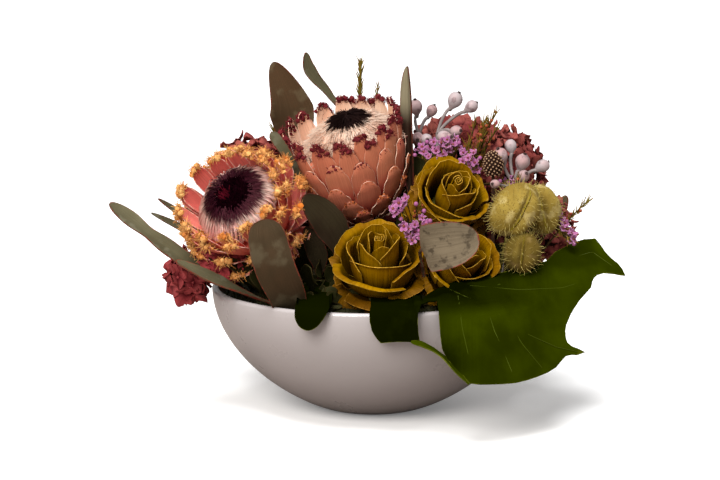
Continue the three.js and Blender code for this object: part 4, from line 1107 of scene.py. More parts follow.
def add_petals(rose, layer, size, turn, base, rng):
    """One layer of petals. Radius and height follow the layer's Bezier profile at t, which falls short
    of the tip towards a petal's sides. The rim is wavy and rolls back by roll curl."""
    count, half, first, ruffle, profile = ROSE_LAYERS[layer]
    angle = first + np.arange(count) * 2 * np.pi / count + rng.normal(0, 0.2, count)
    near = -carried(heading(angle), turn)[:, 1] * (1 if layer > 1 else 0.4)
    angle, near = angle[:, None, None], near[:, None, None]
    phase = rng.uniform(0, FULL_TURN, (4, count))[..., None, None]
    drawn = (rng.normal(0, 0.16, count), rng.normal(1, 0.035, count), half * rng.normal(1, 0.08, count))
    skew, tall, half_k = (q[:, None, None] for q in drawn)
    u, v = grid(22, 27)
    t = u * (1 - 0.2 * np.abs(v + skew * (1 - v * v)) ** 2.2)
    weights = [(1 - t) ** 3, 3 * t * (1 - t) ** 2, 3 * t * t * (1 - t), t**3]
    out = sum(w * p[0] for w, p in zip(weights, profile)) + near * (0.03 * weights[2] + 0.07 * weights[3])
    rise = sum(w * p[1] for w, p in zip(weights, profile)) - near * (0.05 * weights[2] + 0.2 * weights[3])
    rim, curl, roll = smooth(t, 0.55, 1), smooth(u, 0.8, 1) ** 2, min(layer, 4)
    wave = sum(share * np.sin(pace * v + start) for (pace, share), start in zip(PETAL_WAVES, phase))
    fold = 0.012 * np.sin(7 * v + phase[3]) * smooth(t, 0.2, 0.6)
    loose = rng.normal(0.01, 0.05, count)[:, None, None] * t * t * (0.5 + 0.25 * layer)
    out = out + 0.05 * v + fold + loose + ruffle * wave * rim**2 + (0.02 + 0.026 * roll) * curl
    rise = rise * tall - 0.6 * loose - (0.03 + 0.018 * roll) * curl + 0.7 * ruffle * wave * curl
    rise = rise + 0.05 * np.exp(-((v * 2.5 - 2 * skew) ** 2)) * rim
    round_by = angle + v * half_k * (0.7 + 0.3 * smooth(t, 0, 0.5))
    local = size * np.stack([out * np.cos(round_by), out * np.sin(round_by), rise], -1)
    margin = size * np.minimum(profile[2][0] * half * (1 - np.abs(v)), 1.3 * (1 - u))
    tone = np.clip(mix(0.3, 0.8, layer / 5) + rng.uniform(-0.25, 0.25, count), 0, 1)[:, None, None]
    # Slot 3 puts the petals' inner faces in the material with painted shade inside the cup; the two outer
    # layers use slot 2 on both sides.
    faces = {"slot": 2, "under": 2} if layer > 3 else {"slot": 3, "under": 0}
    rose.sheets(turned(local, turn, base), np.full(local.shape[:3], 0.5), tone=tone, margin=margin, **faces)


def make_rose(where, materials):
    """A rose: a rolled bud inside layers of cupped petals. Petals on the front side open lower and
    wider, and the outer ones are more worn."""
    r = ROSES[where]
    size = r["size"]
    rng = np.random.default_rng(int(size) * 7)
    turn, base = stands([r["axis"]], r["roll"]), [r["base"]]
    rose = Piece()
    hip = [(0, -3), (4, -3), (size * 0.3, 2), (size * 0.42, 6), (size * 0.45, size * 0.3), (0, size * 0.36)]
    rose.lathed(hip, (1, 1, 1), turn, base, sides=20, slot=1)
    rose.tubes(broken([r["foot"], r["base"]], 5)[None], 3.0, sides=8, slot=1)
    u, v = grid(22, 46)
    swirl = (v + 1) / 2
    a = swirl * 2.3 * 2 * np.pi
    radius = mix(0.03, 0.19, swirl) * (0.75 + 0.25 * np.sin(np.pi * np.minimum(u * 1.1, 1)))
    uneven = (0.03 * np.cos(3 * a) + 0.03 * np.sin(7 * swirl)) * smooth(u, 0.8, 1)
    height = 1.45 * mix(0.15, mix(0.93, 0.97, swirl), u) + uneven
    core = size * np.stack([radius * np.cos(a), radius * np.sin(a), height], -1)[None]
    rose.sheets(turned(core, turn, base), np.full(core.shape[:3], 0.5), tone=0.4, margin=size * (1 - u))
    for layer in range(len(ROSE_LAYERS)):
        add_petals(rose, layer, size, turn, base, rng)
    rose.build(f"{where}_rose", materials, [f"rose_{where}"], crease=70)


# Leaves


def curve(points, t):
    """A cubic Bezier curve from 4 control points, or from 3 with the middle one taken twice, and
    Catmull-Rom curves through more points."""
    p = np.asarray(points, float)
    if len(p) == 3:
        p = p[[0, 1, 1, 2]]
    if len(p) == 4:
        return bezier(*p[:, None], t)[0]
    p = np.concatenate([2 * p[:1] - p[1:2], p, 2 * p[-1:] - p[-2:-1]])
    x = np.clip(t, 0, 1) * (len(p) - 3)
    k = np.minimum(x.astype(int), len(p) - 4)
    f = (x - k)[:, None]
    a, b, c, d = p[k], p[k + 1], p[k + 2], p[k + 3]
    return 0.5 * (2 * b + (c - a) * f + (2 * a - 5 * b + 4 * c - d) * f**2 + (3 * b - a - 3 * c + d) * f**3)


def leaf_surface(
    lines, width, face, nu, nv, peak=0.62, start=0.08, rise=None, root=0.0, neck=0.0, fold=0.15, wave=0.0,
    seed=0, blunt=2.4
):
    """Long leaves over curved lines: t = 1 - (1 - u)^1.5 along; the half width rises as a smooth step
    to the peak and falls as sqrt(1 - x^blunt); the halves fold up by a share of it."""
    u, v = grid(nu, nv)
    t = 1 - (1 - u[:, 0]) ** 1.5
    mid = np.stack([curve(line, t) for line in lines])
    ahead, behind = np.minimum(t + 1e-3, 1), np.maximum(t - 1e-3, 0)
    along = unit(np.stack([curve(line, ahead) - curve(line, behind) for line in lines]))
    side = unit(np.cross(along, np.asarray(face, float)[:, None]))
    normal = np.cross(side, along)
    beyond = np.clip((t - peak) / (1 - peak), 0, 1)
    rising, falling = mix(root, 1, smooth(t, start, rise or peak)), np.sqrt(1 - beyond**blunt)
    shape = np.where(t < peak, rising, falling)
    shape = shape * (1 - neck * np.exp(-(((t - 0.8) / 0.07) ** 2)))
    floor = np.where(t < peak, 1.2, 0.3)
    half = np.maximum(floor, np.asarray(width, float)[:, None] / 2 * shape)[..., None]
    phase = np.random.default_rng(seed).uniform(0, FULL_TURN, (len(mid), 1, 1))
    lift = half * np.abs(v) * (fold + wave * np.sin(t[:, None] * 13 + phase) * v)
    points = mid[:, :, None] + side[:, :, None] * (v * half)[..., None] + normal[:, :, None] * lift[..., None]
    length = np.linalg.norm(np.diff(mid, axis=1), axis=-1).sum(1)[:, None, None]
    margin = np.minimum(half * (1 - np.abs(v)), length * (1 - t[:, None]) * 0.6)
    return points, margin


def make_leaf(where, materials):
    """One long leaf with a raised midrib and a thickened margin."""
    line, width, face, options = LEAVES[where]
    seed = sum(map(ord, where))
    points, margin = leaf_surface([line], [width], [face], 40, 11, wave=0.08, seed=seed, **options)
    v = np.linspace(-1, 1, 11)
    thick = 0.75 + 0.5 * np.exp(-((v * 9) ** 2)) + 0.35 * smooth(np.abs(v), 0.9, 1)
    leaf = Piece()
    thick = np.broadcast_to(thick, points.shape[:3])
    leaf.sheets(points, thick, slot=1, under=0, tone=(seed % 10) / 10, margin=margin)
    leaf.build(f"leaf_{where}_blade", materials, [f"leaf_{where}"])


# The cut-leaf blade


CREST_LINE = curve(CREST, np.linspace(0, 1, 145))
# the size of the bend over the crest, and how far the rim's colour stays off the crest's left part
CREST_BEND = 9.0
CREST_MARGIN = 6.0


def blade_point(x, b):
    """The blade's depth and height at a front coordinate x: b runs back into the flowers below 0, and
    hangs forward above 0, rounded over the crest by a hyperbola of 9 mm."""
    y, z = (np.interp(x, CREST_LINE[:, 0], CREST_LINE[:, k]) for k in (1, 2))
    free = smooth(x, 25, 75)
    hang = unit(np.stack([mix(-0.08, -0.52, free), mix(-1.0, -0.85, free)], -1))
    back = unit(np.stack([1 + 0 * free, mix(-0.03, 0.42, free)], -1))
    bent = np.sqrt(b * b + CREST_BEND**2) - CREST_BEND
    forward, inward = (bent + b) / 2, (bent - b) / 2
    depth = y + hang[..., 0] * forward + back[..., 0] * inward
    return depth, z + hang[..., 1] * forward + back[..., 1] * inward


def blade_depth(x, z):
    """The blade's y where it is seen at (x, z): z falls as b grows, so b is found by halving."""
    low, high = np.full(np.shape(x), -70.0), np.full(np.shape(x), 95.0)
    for _ in range(26):
        b = (low + high) / 2
        below = blade_point(x, b)[1] < z
        high, low = np.where(below, b, high), np.where(below, low, b)
    return blade_point(x, b)[0]


def on_blade(pixels):
    """Points where the rays through pixels meet the blade, found in small steps."""
    px = np.asarray(pixels, float)
    y = np.full(len(px), -110.0)
    for _ in range(14):
        p = at_pixel(px[:, 0], px[:, 1], y)
        y = mix(y, blade_depth(p[:, 0], p[:, 2]), 0.8)
    return at_pixel(px[:, 0], px[:, 1], y)


def inside(points, loop):
    """Even-odd test of points (n, 2) against a closed loop (m, 2)."""
    a, b = loop, np.roll(loop, -1, axis=0)
    x, y = points[:, None, 0], points[:, None, 1]
    crosses = (a[:, 1] > y) != (b[:, 1] > y)
    with np.errstate(divide="ignore", invalid="ignore"):
        at = a[:, 0] + (y - a[:, 1]) * (b[:, 0] - a[:, 0]) / (b[:, 1] - a[:, 1])
    return (crosses & (x < at)).sum(1) % 2 == 1


def to_loop(points, loop):
    """Each point's distance to the nearest edge of a closed loop."""
    a, b = loop, np.roll(loop, -1, axis=0)
    way = b - a
    t = ((points[:, None] - a) * way).sum(-1) / np.maximum((way**2).sum(-1), 1e-9)
    return np.linalg.norm(points[:, None] - a - np.clip(t, 0, 1)[..., None] * way, axis=-1).min(1)


def blade_part(piece, outline, step=3.0, thickness=0.9):
    """A part of the blade: its outline and a grid inside it are joined by Delaunay triangles in the
    front view, carried to the blade's depth, and given two sides and a rim."""
    edge = on_blade(outline)[:, [0, 2]]
    dense = []
    for a, b in zip(edge, np.roll(edge, -1, axis=0)):
        n = max(1, int(np.linalg.norm(b - a) / 2.5))
        dense.append(a + (b - a) * (np.arange(n) / n)[:, None])
    loop = np.concatenate(dense)
    low, high = loop.min(0), loop.max(0)
    gx, gz = np.meshgrid(np.arange(low[0], high[0], step), np.arange(low[1], high[1], step))
    odd = np.round(gz / step).ravel() % 2
    cloud = np.stack([gx.ravel() + odd * step / 2, gz.ravel()], -1)
    cloud = cloud[inside(cloud, loop) & (to_loop(cloud, loop) > step * 0.45)]
    given = [Vector(p) for p in np.concatenate([loop, cloud]).tolist()]
    made = geometry.delaunay_2d_cdt(given, [], [list(range(len(loop)))], 1, 1e-5)
    flat = np.array([tuple(p) for p in made[0]])
    faces = np.array([f[::-1] if cross2(flat[list(f)]) > 0 else f for f in made[2]])
    x, z = flat[:, 0], flat[:, 1]
    slope_x = blade_depth(x + 0.5, z) - blade_depth(x - 0.5, z)
    slope_z = blade_depth(x, z + 0.5) - blade_depth(x, z - 0.5)
    normal = unit(np.stack([slope_x, -1 + 0 * x, slope_z], -1))
    middle = np.stack([x, blade_depth(x, z), z], -1)
    middle = middle + normal * (0.8 * ripple(middle, 8, 40.0))[:, None]
    edges = dict.fromkeys(e for a, b, c in faces.tolist() for e in ((a, b), (b, c), (c, a)))
    border = np.array([e for e in edges if (e[1], e[0]) not in edges])
    n = len(flat)
    wall = np.stack([border[:, 1], border[:, 0], border[:, 0] + n, border[:, 1] + n], -1)
    points = np.concatenate([middle + normal * thickness / 2, middle - normal * thickness / 2])
    crest_left = smooth(z, 92, 98) * (1 - smooth(x, 62, 84))
    # Painted shade: the tone falls to the darkest greens on the finger at the left and over the crest, where
    # the roses shade the blade.
    painted_crest_shade = smooth(z, 88, 99) * (1 - smooth(x, 85, 125))
    values = {
        "margin": to_loop(flat, loop) + CREST_MARGIN * crest_left,
        "tone": mix(-0.9, 0.65, smooth(x, 20, 75) * (1 - 0.8 * painted_crest_shade)),
        "along": (z - 40) / 70,
        "across": x / 120,
    }
    both = {key: np.tile(value, 2) for key, value in values.items()}
    piece.add(points, [faces[:, ::-1], faces + n, wall], [0, 1, 0], **both)


def cross2(p):
    """Twice the signed area of a triangle."""
    return (p[1, 0] - p[0, 0]) * (p[2, 1] - p[0, 1]) - (p[1, 1] - p[0, 1]) * (p[2, 0] - p[0, 0])


def make_blade(settings):
    """The cut-leaf blade over the front rim, its veins, its twisted strip and its stalk."""
    finger = np.array(BLADE_FINGER, float)
    for _ in range(2):
        ahead = np.roll(finger, -1, axis=0)
        finger = np.stack([mix(finger, ahead, 0.25), mix(finger, ahead, 0.75)], 1).reshape(-1, 2)
    blade = Piece()
    for outline in (finger, BLADE_MAIN):
        blade_part(blade, outline)
    for line in BLADE_VEINS:
        path = on_blade(broken(line, 26)) + [0, -0.2, 0.1]
        blade.tubes(path[None], np.linspace(0.55, 0.3, 26), sides=6, slot=2)
    out = np.array([0, -1.0, 0])
    mid = broken(on_blade(BLADE_TWIST) + out, 30)
    across = unit(np.cross(unit(np.gradient(mid, axis=0)), out))
    s = np.linspace(0, 1, 30)
    angle = (0.3 + 1.1 * np.sin(np.pi * s))[:, None]
    side = across * np.cos(angle) + out * np.sin(angle)
    half = (0.8 + 2.4 * np.sin(np.pi * np.clip(s * 1.05, 0, 1)) ** 0.8)[:, None]
    _, v = grid(30, 7)
    strip = (mid[:, None] + side[:, None] * (v * half)[..., None])[None]
    margin = half * (1 - np.abs(v))
    blade.sheets(strip, np.full(strip.shape[:3], 0.8), slot=1, under=0, tone=0.8, margin=margin)
    stem = bezier(
        [(88, -91, 106)], [(82, -82, 102)], [(74, -70, 92)], [(68, -64, 80)], np.linspace(0, 1, 10))
    blade.tubes(stem, np.linspace(2.0, 2.4, 10), sides=8, slot=2)
    # The settings' colours are the darkest greens, painted shade on the finger and over the crest; the second
    # colours here are the lighter greens further right.
    upper = tissue(
        "blade_green", settings.colour, srgb(57, 68, 0), rim=srgb(84, 88, 20), rim_width=0.4, mottle=20.0,
        lines=6.0, line_strength=0.15, roughness=0.4, bump=0.12, specular=0.0)
    under = tissue(
        "blade_underside", settings.underside, srgb(72, 84, 10), rim=srgb(96, 100, 26), rim_width=0.4,
        roughness=0.55, bump=0.2, specular=0.3)
    vein = tissue("blade_vein", srgb(52, 62, 4), srgb(62, 72, 8), roughness=0.5, specular=0.25)
    blade.build("cut_leaf_blade", [upper, under, vein], ["cut_leaf"])


# Hydrangea and other sprays


def solid_places():
    """Balls that stand for the large heads: florets are left out where they would be inside one."""
    balls = []
    for p in PROTEAS.values():
        for z in (8, 24, 42, 60):
            balls.append((np.array(p["base"]) + unit(np.array(p["axis"], float)) * z, goblet(p, z) + 3))
    for r in ROSES.values():
        balls.append(
            (np.array(r["base"]) + unit(np.array(r["axis"], float)) * r["size"] * 0.8, r["size"] * 0.85))
    for pod in PODS.values():
        balls.append((np.array(pod[0]), min(pod[2])))
    return balls


def has_room(points, spare=0.0):
    """True where a point is outside every large head and outside the bowl's wall."""
    free = np.ones(len(points), bool)
    for centre, radius in solid_places():
        free &= np.linalg.norm(points - centre, axis=1) > radius + spare
    r = np.hypot(points[:, 0], points[:, 1])
    low = points[:, 2] < BOWL["height"] + 3
    near = np.abs(r - bowl_radius(points[:, 2]) + 2) < 5
    return free & ~(low & near)


def florets(piece, centres, axes, sizes, petals, rng, heart, heart_size, cup=0.12, wide=0.27, nu=5):
    """Small flowers: each petal is a rounded blade that widens to 0.6 of its length and cups up by
    cup u^2; the petals stand round the flower's axis, and a bead sits in its heart."""
    count = len(centres)
    turns = stands(axes, rng.uniform(0, FULL_TURN, count))
    u, v = grid(nu, 4)
    tip = np.sqrt(np.maximum(1 - ((u - 0.6) / 0.43) ** 2, 0.02))
    outline = np.where(u < 0.6, 0.22 + 0.78 * np.sin(np.pi / 2 * u / 0.6), tip)
    n = count * petals
    size = np.repeat(sizes, petals)[:, None, None]
    a = (np.tile(np.arange(petals) * 2 * np.pi / petals, count) + rng.normal(0, 0.1, n))[:, None, None]
    tilt = rng.normal(0, 0.09, n)[:, None, None]
    r = size * (0.04 + 0.46 * u)
    w = size * wide * outline * v
    bend = rng.normal(cup, 0.08, n)[:, None, None]
    twist = rng.normal(0, 0.09, n)[:, None, None]
    z = size * (bend * u * u + tilt * u - 0.10 * v * v * u + twist * v * u)
    z = z + size * 0.025 * np.sin(5 * v + 4 * u + a) * u + (np.arange(n) % 2)[:, None, None] * 0.5
    local = np.stack([r * np.cos(a) - w * np.sin(a), r * np.sin(a) + w * np.cos(a), z], -1)
    margin = size * np.minimum(wide * outline * (1 - np.abs(v)), 0.46 * (1 - u))
    world = turned(local, np.repeat(turns, petals, 0), np.repeat(centres, petals, 0))
    tone = np.repeat(rng.uniform(0, 1, count), petals) * 0.6 + rng.uniform(0, 0.4, n)
    piece.sheets(world, np.full(world.shape[:3], 0.5), tone=tone[:, None, None], margin=margin)
    bead = [(0, -0.7), (0.8, -0.5), (1, 0.1), (0.7, 0.7), (0, 0.9)]
    scale = np.repeat(sizes[:, None] * heart_size, 3, 1)
    places = centres + unit(np.asarray(axes, float)) * 0.4
    piece.lathed(bead, scale, turns, places, sides=6, slot=heart, tone=rng.uniform(0, 1, count))


def make_hydrangea(where, petal, twig):
    """A mop head: florets spread over an ellipsoid with a little depth, on a smaller dark core."""
    centre, radii, count, size, low, foot, via = HYDRANGEAS[where]
    rng = seeded(where)
    centre, radii = np.array(centre, float), np.array(radii, float)
    ways = unit(spread(count, low) + rng.normal(0, 0.05, (count, 3)))
    places = centre + ways * radii * rng.uniform(0.9, 1.04, count)[:, None]
    axes = unit(ways / radii + rng.normal(0, 0.25, (count, 3)) / radii.mean())
    free = has_room(places)
    kept = [(places[free], axes[free], ways[free])]
    head = Piece()
    head.lathed(EGG, radii - 8, stands([UP]), [centre], sides=16, slot=1)
    for more, reach, extra in EXTRA_FLORETS.get(where, []):
        way = unit(spread(extra, -0.2) + rng.normal(0, 0.05, (extra, 3)))
        place = np.array(more, float) + way * np.array(reach, float) * rng.uniform(0.7, 1.0, extra)[:, None]
        free = has_room(place)
        kept.append((place[free], way[free] + [0, -0.5, 0], unit(place - centre)[free]))
    places, axes, ways = (np.concatenate(part) for part in zip(*kept))
    florets(
        head, places, axes, size * rng.uniform(0.88, 1.12, len(places)), 4, rng, heart=0, heart_size=0.06)
    inner = centre + ways * (radii - 10)
    stalks = np.stack([inner, mix(inner, places, 0.5) + rng.normal(0, 1, inner.shape), places], 1)
    head.tubes(stalks, 0.7, sides=4, slot=1, along=0, tone=0.5)
    stops = [foot, via, centre] if via else [foot, centre]
    head.tubes(broken(stops, 9)[None], 2.0, sides=8, slot=1, along=0)
    head.build(f"{where}_hydrangea", [petal, twig], [f"hydrangea_{where}"])


def make_gum_nuts(where, nut_skin, bark, beak):
    """Forking stalks with nuts: each nut narrows into its stalk and ends in a small dark beak."""
    foot, fork, nuts = GUM_NUTS[where]
    nuts = list(nuts)
    for column, row, y, radius, carrier in EXTRA_NUTS:
        if carrier == where:
            nuts.append((tuple(at_pixel(column, row, y)), radius, None))
    spray = Piece()
    t = np.linspace(0, 1, 8)
    spray.tubes(stalk(foot, fork, 0.4, 0.7, 8), np.linspace(1.9, 1.5, 8), sides=8, slot=1)
    body = [
        (0, -1.7), (0.22, -1.6), (0.3, -1.3), (0.5, -0.98), (0.8, -0.62), (0.97, -0.2), (1, 0.12),
        (0.9, 0.5), (0.7, 0.78), (0.46, 0.93), (0.4, 1.02), (0.3, 1.0), (0, 0.9)]
    tip = [(0, 0.8), (0.24, 0.85), (0.2, 1.1), (0.27, 1.22), (0, 1.2)]
    for k, (place, radius, start) in enumerate(nuts):
        place, start, radius = np.array(place, float), np.array(start or fork, float), radius * 0.8
        way = unit(place - start)
        bow = np.cross(way, [0, 1.0, 0]) * 2.5
        inner = ([mix(start, place, share) + bow] for share in (0.35, 0.7))
        line = bezier([start], *inner, [place - way * radius * 1.3], t)
        spray.tubes(line, np.linspace(1.2, 1.3, 8), sides=8, slot=1)
        turn = stands([way + np.array([0, -0.12, 0])], k * 1.1)

        def uneven(points, seed=12 + k):
            """Points pushed in and out by soft noise."""
            return points * (1 + 0.05 * ripple(points, seed, 4.0))[..., None]

        scale = [[radius, radius * 0.94, radius]]
        spray.lathed(body, scale, turn, [place], sides=24, tone=(k * 0.37) % 1, shape=uneven)
        spray.lathed(tip, [[radius] * 3], turn, [place], sides=8, slot=2, tone=0.5)
    spray.build(f"{where}_gum_nuts", [nut_skin, bark, beak], [f"gum_nuts_{where}"])


def make_wax_flower(where, materials):
    """A spray of five-petalled flowers and round buds, each on its own thin stalk from one stem."""
    foot, via, depth, flowers, buds = WAX_FLOWERS[where]
    rng = seeded(where)
    flowers, buds = np.array(flowers, float), np.array(buds, float)
    y = depth + rng.uniform(-5, 5, len(flowers))
    places = at_pixel(flowers[:, 0], flowers[:, 1], y)
    via = np.array(via, float)
    axes = unit(places - via) * 0.5 + [0, -0.75, 0.35] + rng.normal(0, 0.35, (len(places), 3))
    spray = Piece()
    sizes = rng.uniform(5.6, 7.4, len(places))
    florets(spray, places, axes, sizes, 5, rng, heart=1, heart_size=0.17, cup=0.28, wide=0.2, nu=4)
    knobs = at_pixel(buds[:, 0], buds[:, 1], depth + rng.uniform(-4, 4, len(buds)))
    turns = stands(np.tile([0, -0.5, 0.8], (len(knobs), 1)))
    tone = rng.uniform(0, 1, len(knobs))
    spray.lathed(BALL, np.full((len(knobs), 3), 1.7), turns, knobs, sides=10, tone=tone)
    ends = np.concatenate([places, knobs])
    root = via + rng.normal(0, 1.2, ends.shape)
    t = np.linspace(0, 1, 6)
    stalks = bezier(np.tile(via, (len(ends), 1)), mix(root, ends, 0.3), mix(root, ends, 0.7), ends, t)
    spray.tubes(stalks, np.linspace(0.7, 0.35, 6), sides=4, slot=2)
    spray.tubes(stalk(foot, via, 0.4, 0.8, 6), np.linspace(1.2, 1.0, 6), sides=6, slot=2)
    n = 5 * len(ends)
    pick = rng.integers(0, len(ends), n)
    on = rng.uniform(0.3, 0.95, n)[:, None]
    roots = mix(root[pick], ends[pick], on)
    ways = unit(ends[pick] - root[pick]) + rng.normal(0, 0.6, (n, 3))
    needles = hair_paths(roots, ways, rng.uniform(4, 8, n), rng, bend=0.15)
    spray.tubes(needles, np.array([0.4, 0.42, 0.35, 0.12]), slot=3, tone=rng.uniform(0, 1, (n, 1)))
    spray.build(f"{where}_wax_flower", materials, [f"wax_flower_{where}"])


def make_twig(where, materials):
    """Needle foliage: needles stand round each stalk's upper part and point along it."""
    rng = seeded(where)
    twigs = [TWIGS[where]]
    for foot, (column, row, y), bare, count, length, splay in EXTRA_TWIGS[where]:
        twigs.append((foot, tuple(at_pixel(column, row, y)), bare, count, length, splay))
    twig = Piece()
    for foot, tip, bare, count, length, splay in twigs:
        foot, tip = np.array(foot, float), np.array(tip, float)
        way = unit(tip - foot)
        t = np.linspace(0, 1, 9)
        line = stalk(foot, tip, 0.4, 0.75, 9, bow=np.cross(way, [0, 1.0, 0]) * 4)
        twig.tubes(line, np.linspace(1.1, 0.5, 9), sides=6, slot=1)
        k = np.arange(count)
        at = mix(bare, 1.0, k / count)
        roots = np.stack([np.interp(at, t, line[0, :, axis]) for axis in range(3)], -1)
        round_it = carried(heading(k * GOLDEN), stands([way]))
        ways = way * length + round_it * splay * rng.uniform(0.4, 1.2, (count, 1))
        lengths = np.linalg.norm(ways, axis=1) * rng.uniform(0.7, 1.15, count)
        paths = hair_paths(roots, ways, lengths, rng, bend=0.12, steps=5)
        twig.tubes(paths, np.array([0.3, 0.4, 0.38, 0.3, 0.1]), sides=4, tone=rng.uniform(0, 1, (count, 1)))
        some = rng.permutation(count)[: count // 3]
        if where != "behind_protea":
            seeds = roots[some] + round_it[some] * 2.2 + way * 2
            husk = [(0, -1), (0.8, -0.6), (1, 0.3), (0.5, 0.9), (0, 1)]
            scale, tone = np.full((len(some), 3), 1.3), rng.uniform(0, 1, len(some))
            twig.lathed(husk, scale, stands(ways[some]), seeds, sides=6, slot=2, tone=tone)
    twig.build(f"{where}_twig", materials, [f"twig_{where}"])


def pod_surface(radii, longitude, polar):
    """An egg pinched along one seam, with a fine ridge in the seam, slight ribs and dents."""
    longitude, polar = np.broadcast_arrays(longitude, polar)
    seam, ridge = np.exp(-((longitude / 0.3) ** 2)), np.exp(-((longitude / 0.07) ** 2))
    pinch = 1 - (0.34 * seam - 0.1 * ridge) * np.sin(polar)
    ribs = 1 + 0.06 * np.cos(5 * longitude + 1) * np.sin(polar)
    r = np.sin(polar) ** 0.9 * pinch * ribs
    p = np.stack(
        [r * np.cos(longitude) * radii[0], r * np.sin(longitude) * radii[1], -np.cos(polar) * radii[2]], -1)
    return p * (1 + 0.12 * ripple(p, 6, 11.0))[..., None]


def make_pod(where, materials, settings):
    """A balloon pod with soft hairs all over and a yellow seam."""
    centre, axis, radii, roll, hairs, foot = PODS[where]
    rng = seeded(where)
    turn = stands([axis], roll)
    radii = np.array(radii, float)
    sides, rings = 48, 26
    longitude = -np.pi + np.arange(sides) * 2 * np.pi / sides
    polar = np.linspace(0, np.pi, rings)
    ring = pod_surface(radii, longitude[None], polar[1:-1, None])
    ends = pod_surface(radii, np.zeros(2), np.array([0, np.pi]))
    local = np.concatenate([ends[:1], ring.reshape(-1, 3), ends[1:]])
    n = rings - 2
    seam = np.concatenate([[0], np.tile(np.abs(longitude) * radii[0], n), [0]])
    pod = Piece()
    height = np.concatenate([[0], np.repeat(np.linspace(0, 1, n), sides), [1]])
    pod.add(carried(local, turn, centre), capped(n, sides), margin=seam, along=height, tone=0.4)
    ways = unit(spread(hairs, -0.99, 0.99) + rng.normal(0, 0.02, (hairs, 3)))
    lon, pol = np.arctan2(ways[:, 1], ways[:, 0]), np.arccos(np.clip(-ways[:, 2], -1, 1))
    roots = pod_surface(radii, lon, pol)
    lengths = settings.hair_length / MM * rng.uniform(0.5, 1.2, hairs)
    out = unit(roots / radii) + rng.normal(0, 0.22, (hairs, 3))
    paths = carried(hair_paths(roots * 0.99, out, lengths, rng, bend=0.3), turn, centre)
    pod.tubes(paths, np.array([0.16, 0.14, 0.11, 0.06]), slot=1, tone=rng.uniform(0, 1, (hairs, 1)))
    pod.tubes(stalk(foot, centre, 0.4, 0.6, 7), 1.6, sides=8, slot=2)
    pod.build(f"{where}_pod", materials, [f"pod_{where}"])


def make_seed_head(where, materials):
    """A seed head: pale-tipped beads in golden-angle rows over a dark egg."""
    centre, radii, count, foot = SEED_HEADS[where]
    centre, radii = np.array(centre, float), np.array(radii, float)
    head = Piece()
    head.lathed(EGG, radii - 0.6, stands([UP]), [centre], sides=14)
    ways = spread(count, -0.85)
    places = centre + ways * radii
    bead = [(0, -1), (0.7, -0.7), (1, -0.1), (0.8, 0.5), (0.4, 0.9), (0, 1)]
    scale, tone = np.tile([0.95, 0.95, 1.3], (count, 1)), (np.arange(count) * 0.37) % 1
    head.lathed(bead, scale, stands(ways / radii), places, sides=8, slot=1, tone=tone)
    head.tubes(stalk(foot, centre, 0.3, 0.7, 6), 1.4, sides=6)
    head.build(f"{where}_seed_head", materials, [f"seed_head_{where}"])


def make_filling(settings, materials):
    """Dark leaves that fill the gaps above the moss, all round."""
    rng = np.random.default_rng(31)
    n = settings.leaves
    k = np.arange(n)
    a = k * GOLDEN
    r = np.sqrt(mix(0.1, 1.0, (k + 0.5) / n)) * 100
    out = heading(a)
    start = raised(out, r * 0.9, moss_height(r) - 2)
    rise = rng.uniform(16, 34, n)
    front = smooth(-np.sin(a), 0.2, 0.8) * smooth(r, 50, 80)
    rise = rise * (1 - 0.72 * front)
    reach = mix(2, 20, (r / 100) ** 2) * (1 - 0.75 * front)
    turn = rng.normal(0, 0.5, n)
    side = np.stack([-np.sin(a), np.cos(a), 0 * a], -1) * (turn * 12)[:, None]
    tip = start + side + raised(out, reach, rise)
    bend = mix(start, tip, 0.5) + [0, 0, 5] - out * 2
    free = has_room(tip) & has_room(mix(start, tip, 0.6)) & (np.hypot(tip[:, 0], tip[:, 1]) < 124)
    start, bend, tip, out = start[free], bend[free], tip[free], out[free]
    more = np.array(FILL, float)
    start, tip = np.concatenate([start, more[:, 0]]), np.concatenate([tip, more[:, 1]])
    bend = np.concatenate([bend, mix(more[:, 0], more[:, 1], 0.5) + [0, 0, 6]])
    out = np.concatenate([out, np.tile([-0.1, -1.0, 0.0], (len(more), 1))])
    count = len(tip)
    lines = np.stack([start, bend, tip], 1)
    face = unit(out + [0, 0, 0.8] + rng.normal(0, 0.3, (count, 3)))
    widths = rng.uniform(11, 19, count)
    points, margin = leaf_surface(lines, widths, face, 12, 5, peak=0.55, fold=0.25, seed=5)
    leaves = Piece()
    leaves.sheets(
        points, np.full(points.shape[:3], 0.6), tone=rng.uniform(0, 1, (count, 1, 1)), margin=margin)
    leaves.build("low_foliage", materials)


# Stage

# The floor, the lights' places and the camera's exposure are in metres and stops.
FLOOR_RADIUS = 30
FLOOR_SIDES = 96
SUN_FROM = (-0.14, -0.56, 1.4)
PANEL_FROM, PANEL_AT, PANEL_SIDE = (-0.5, -1.25, 0.85), (0, 0, 0.13), 0.7
PANEL_COLOUR = (1.0, 0.965, 0.92)
EXPOSURE = 0.45


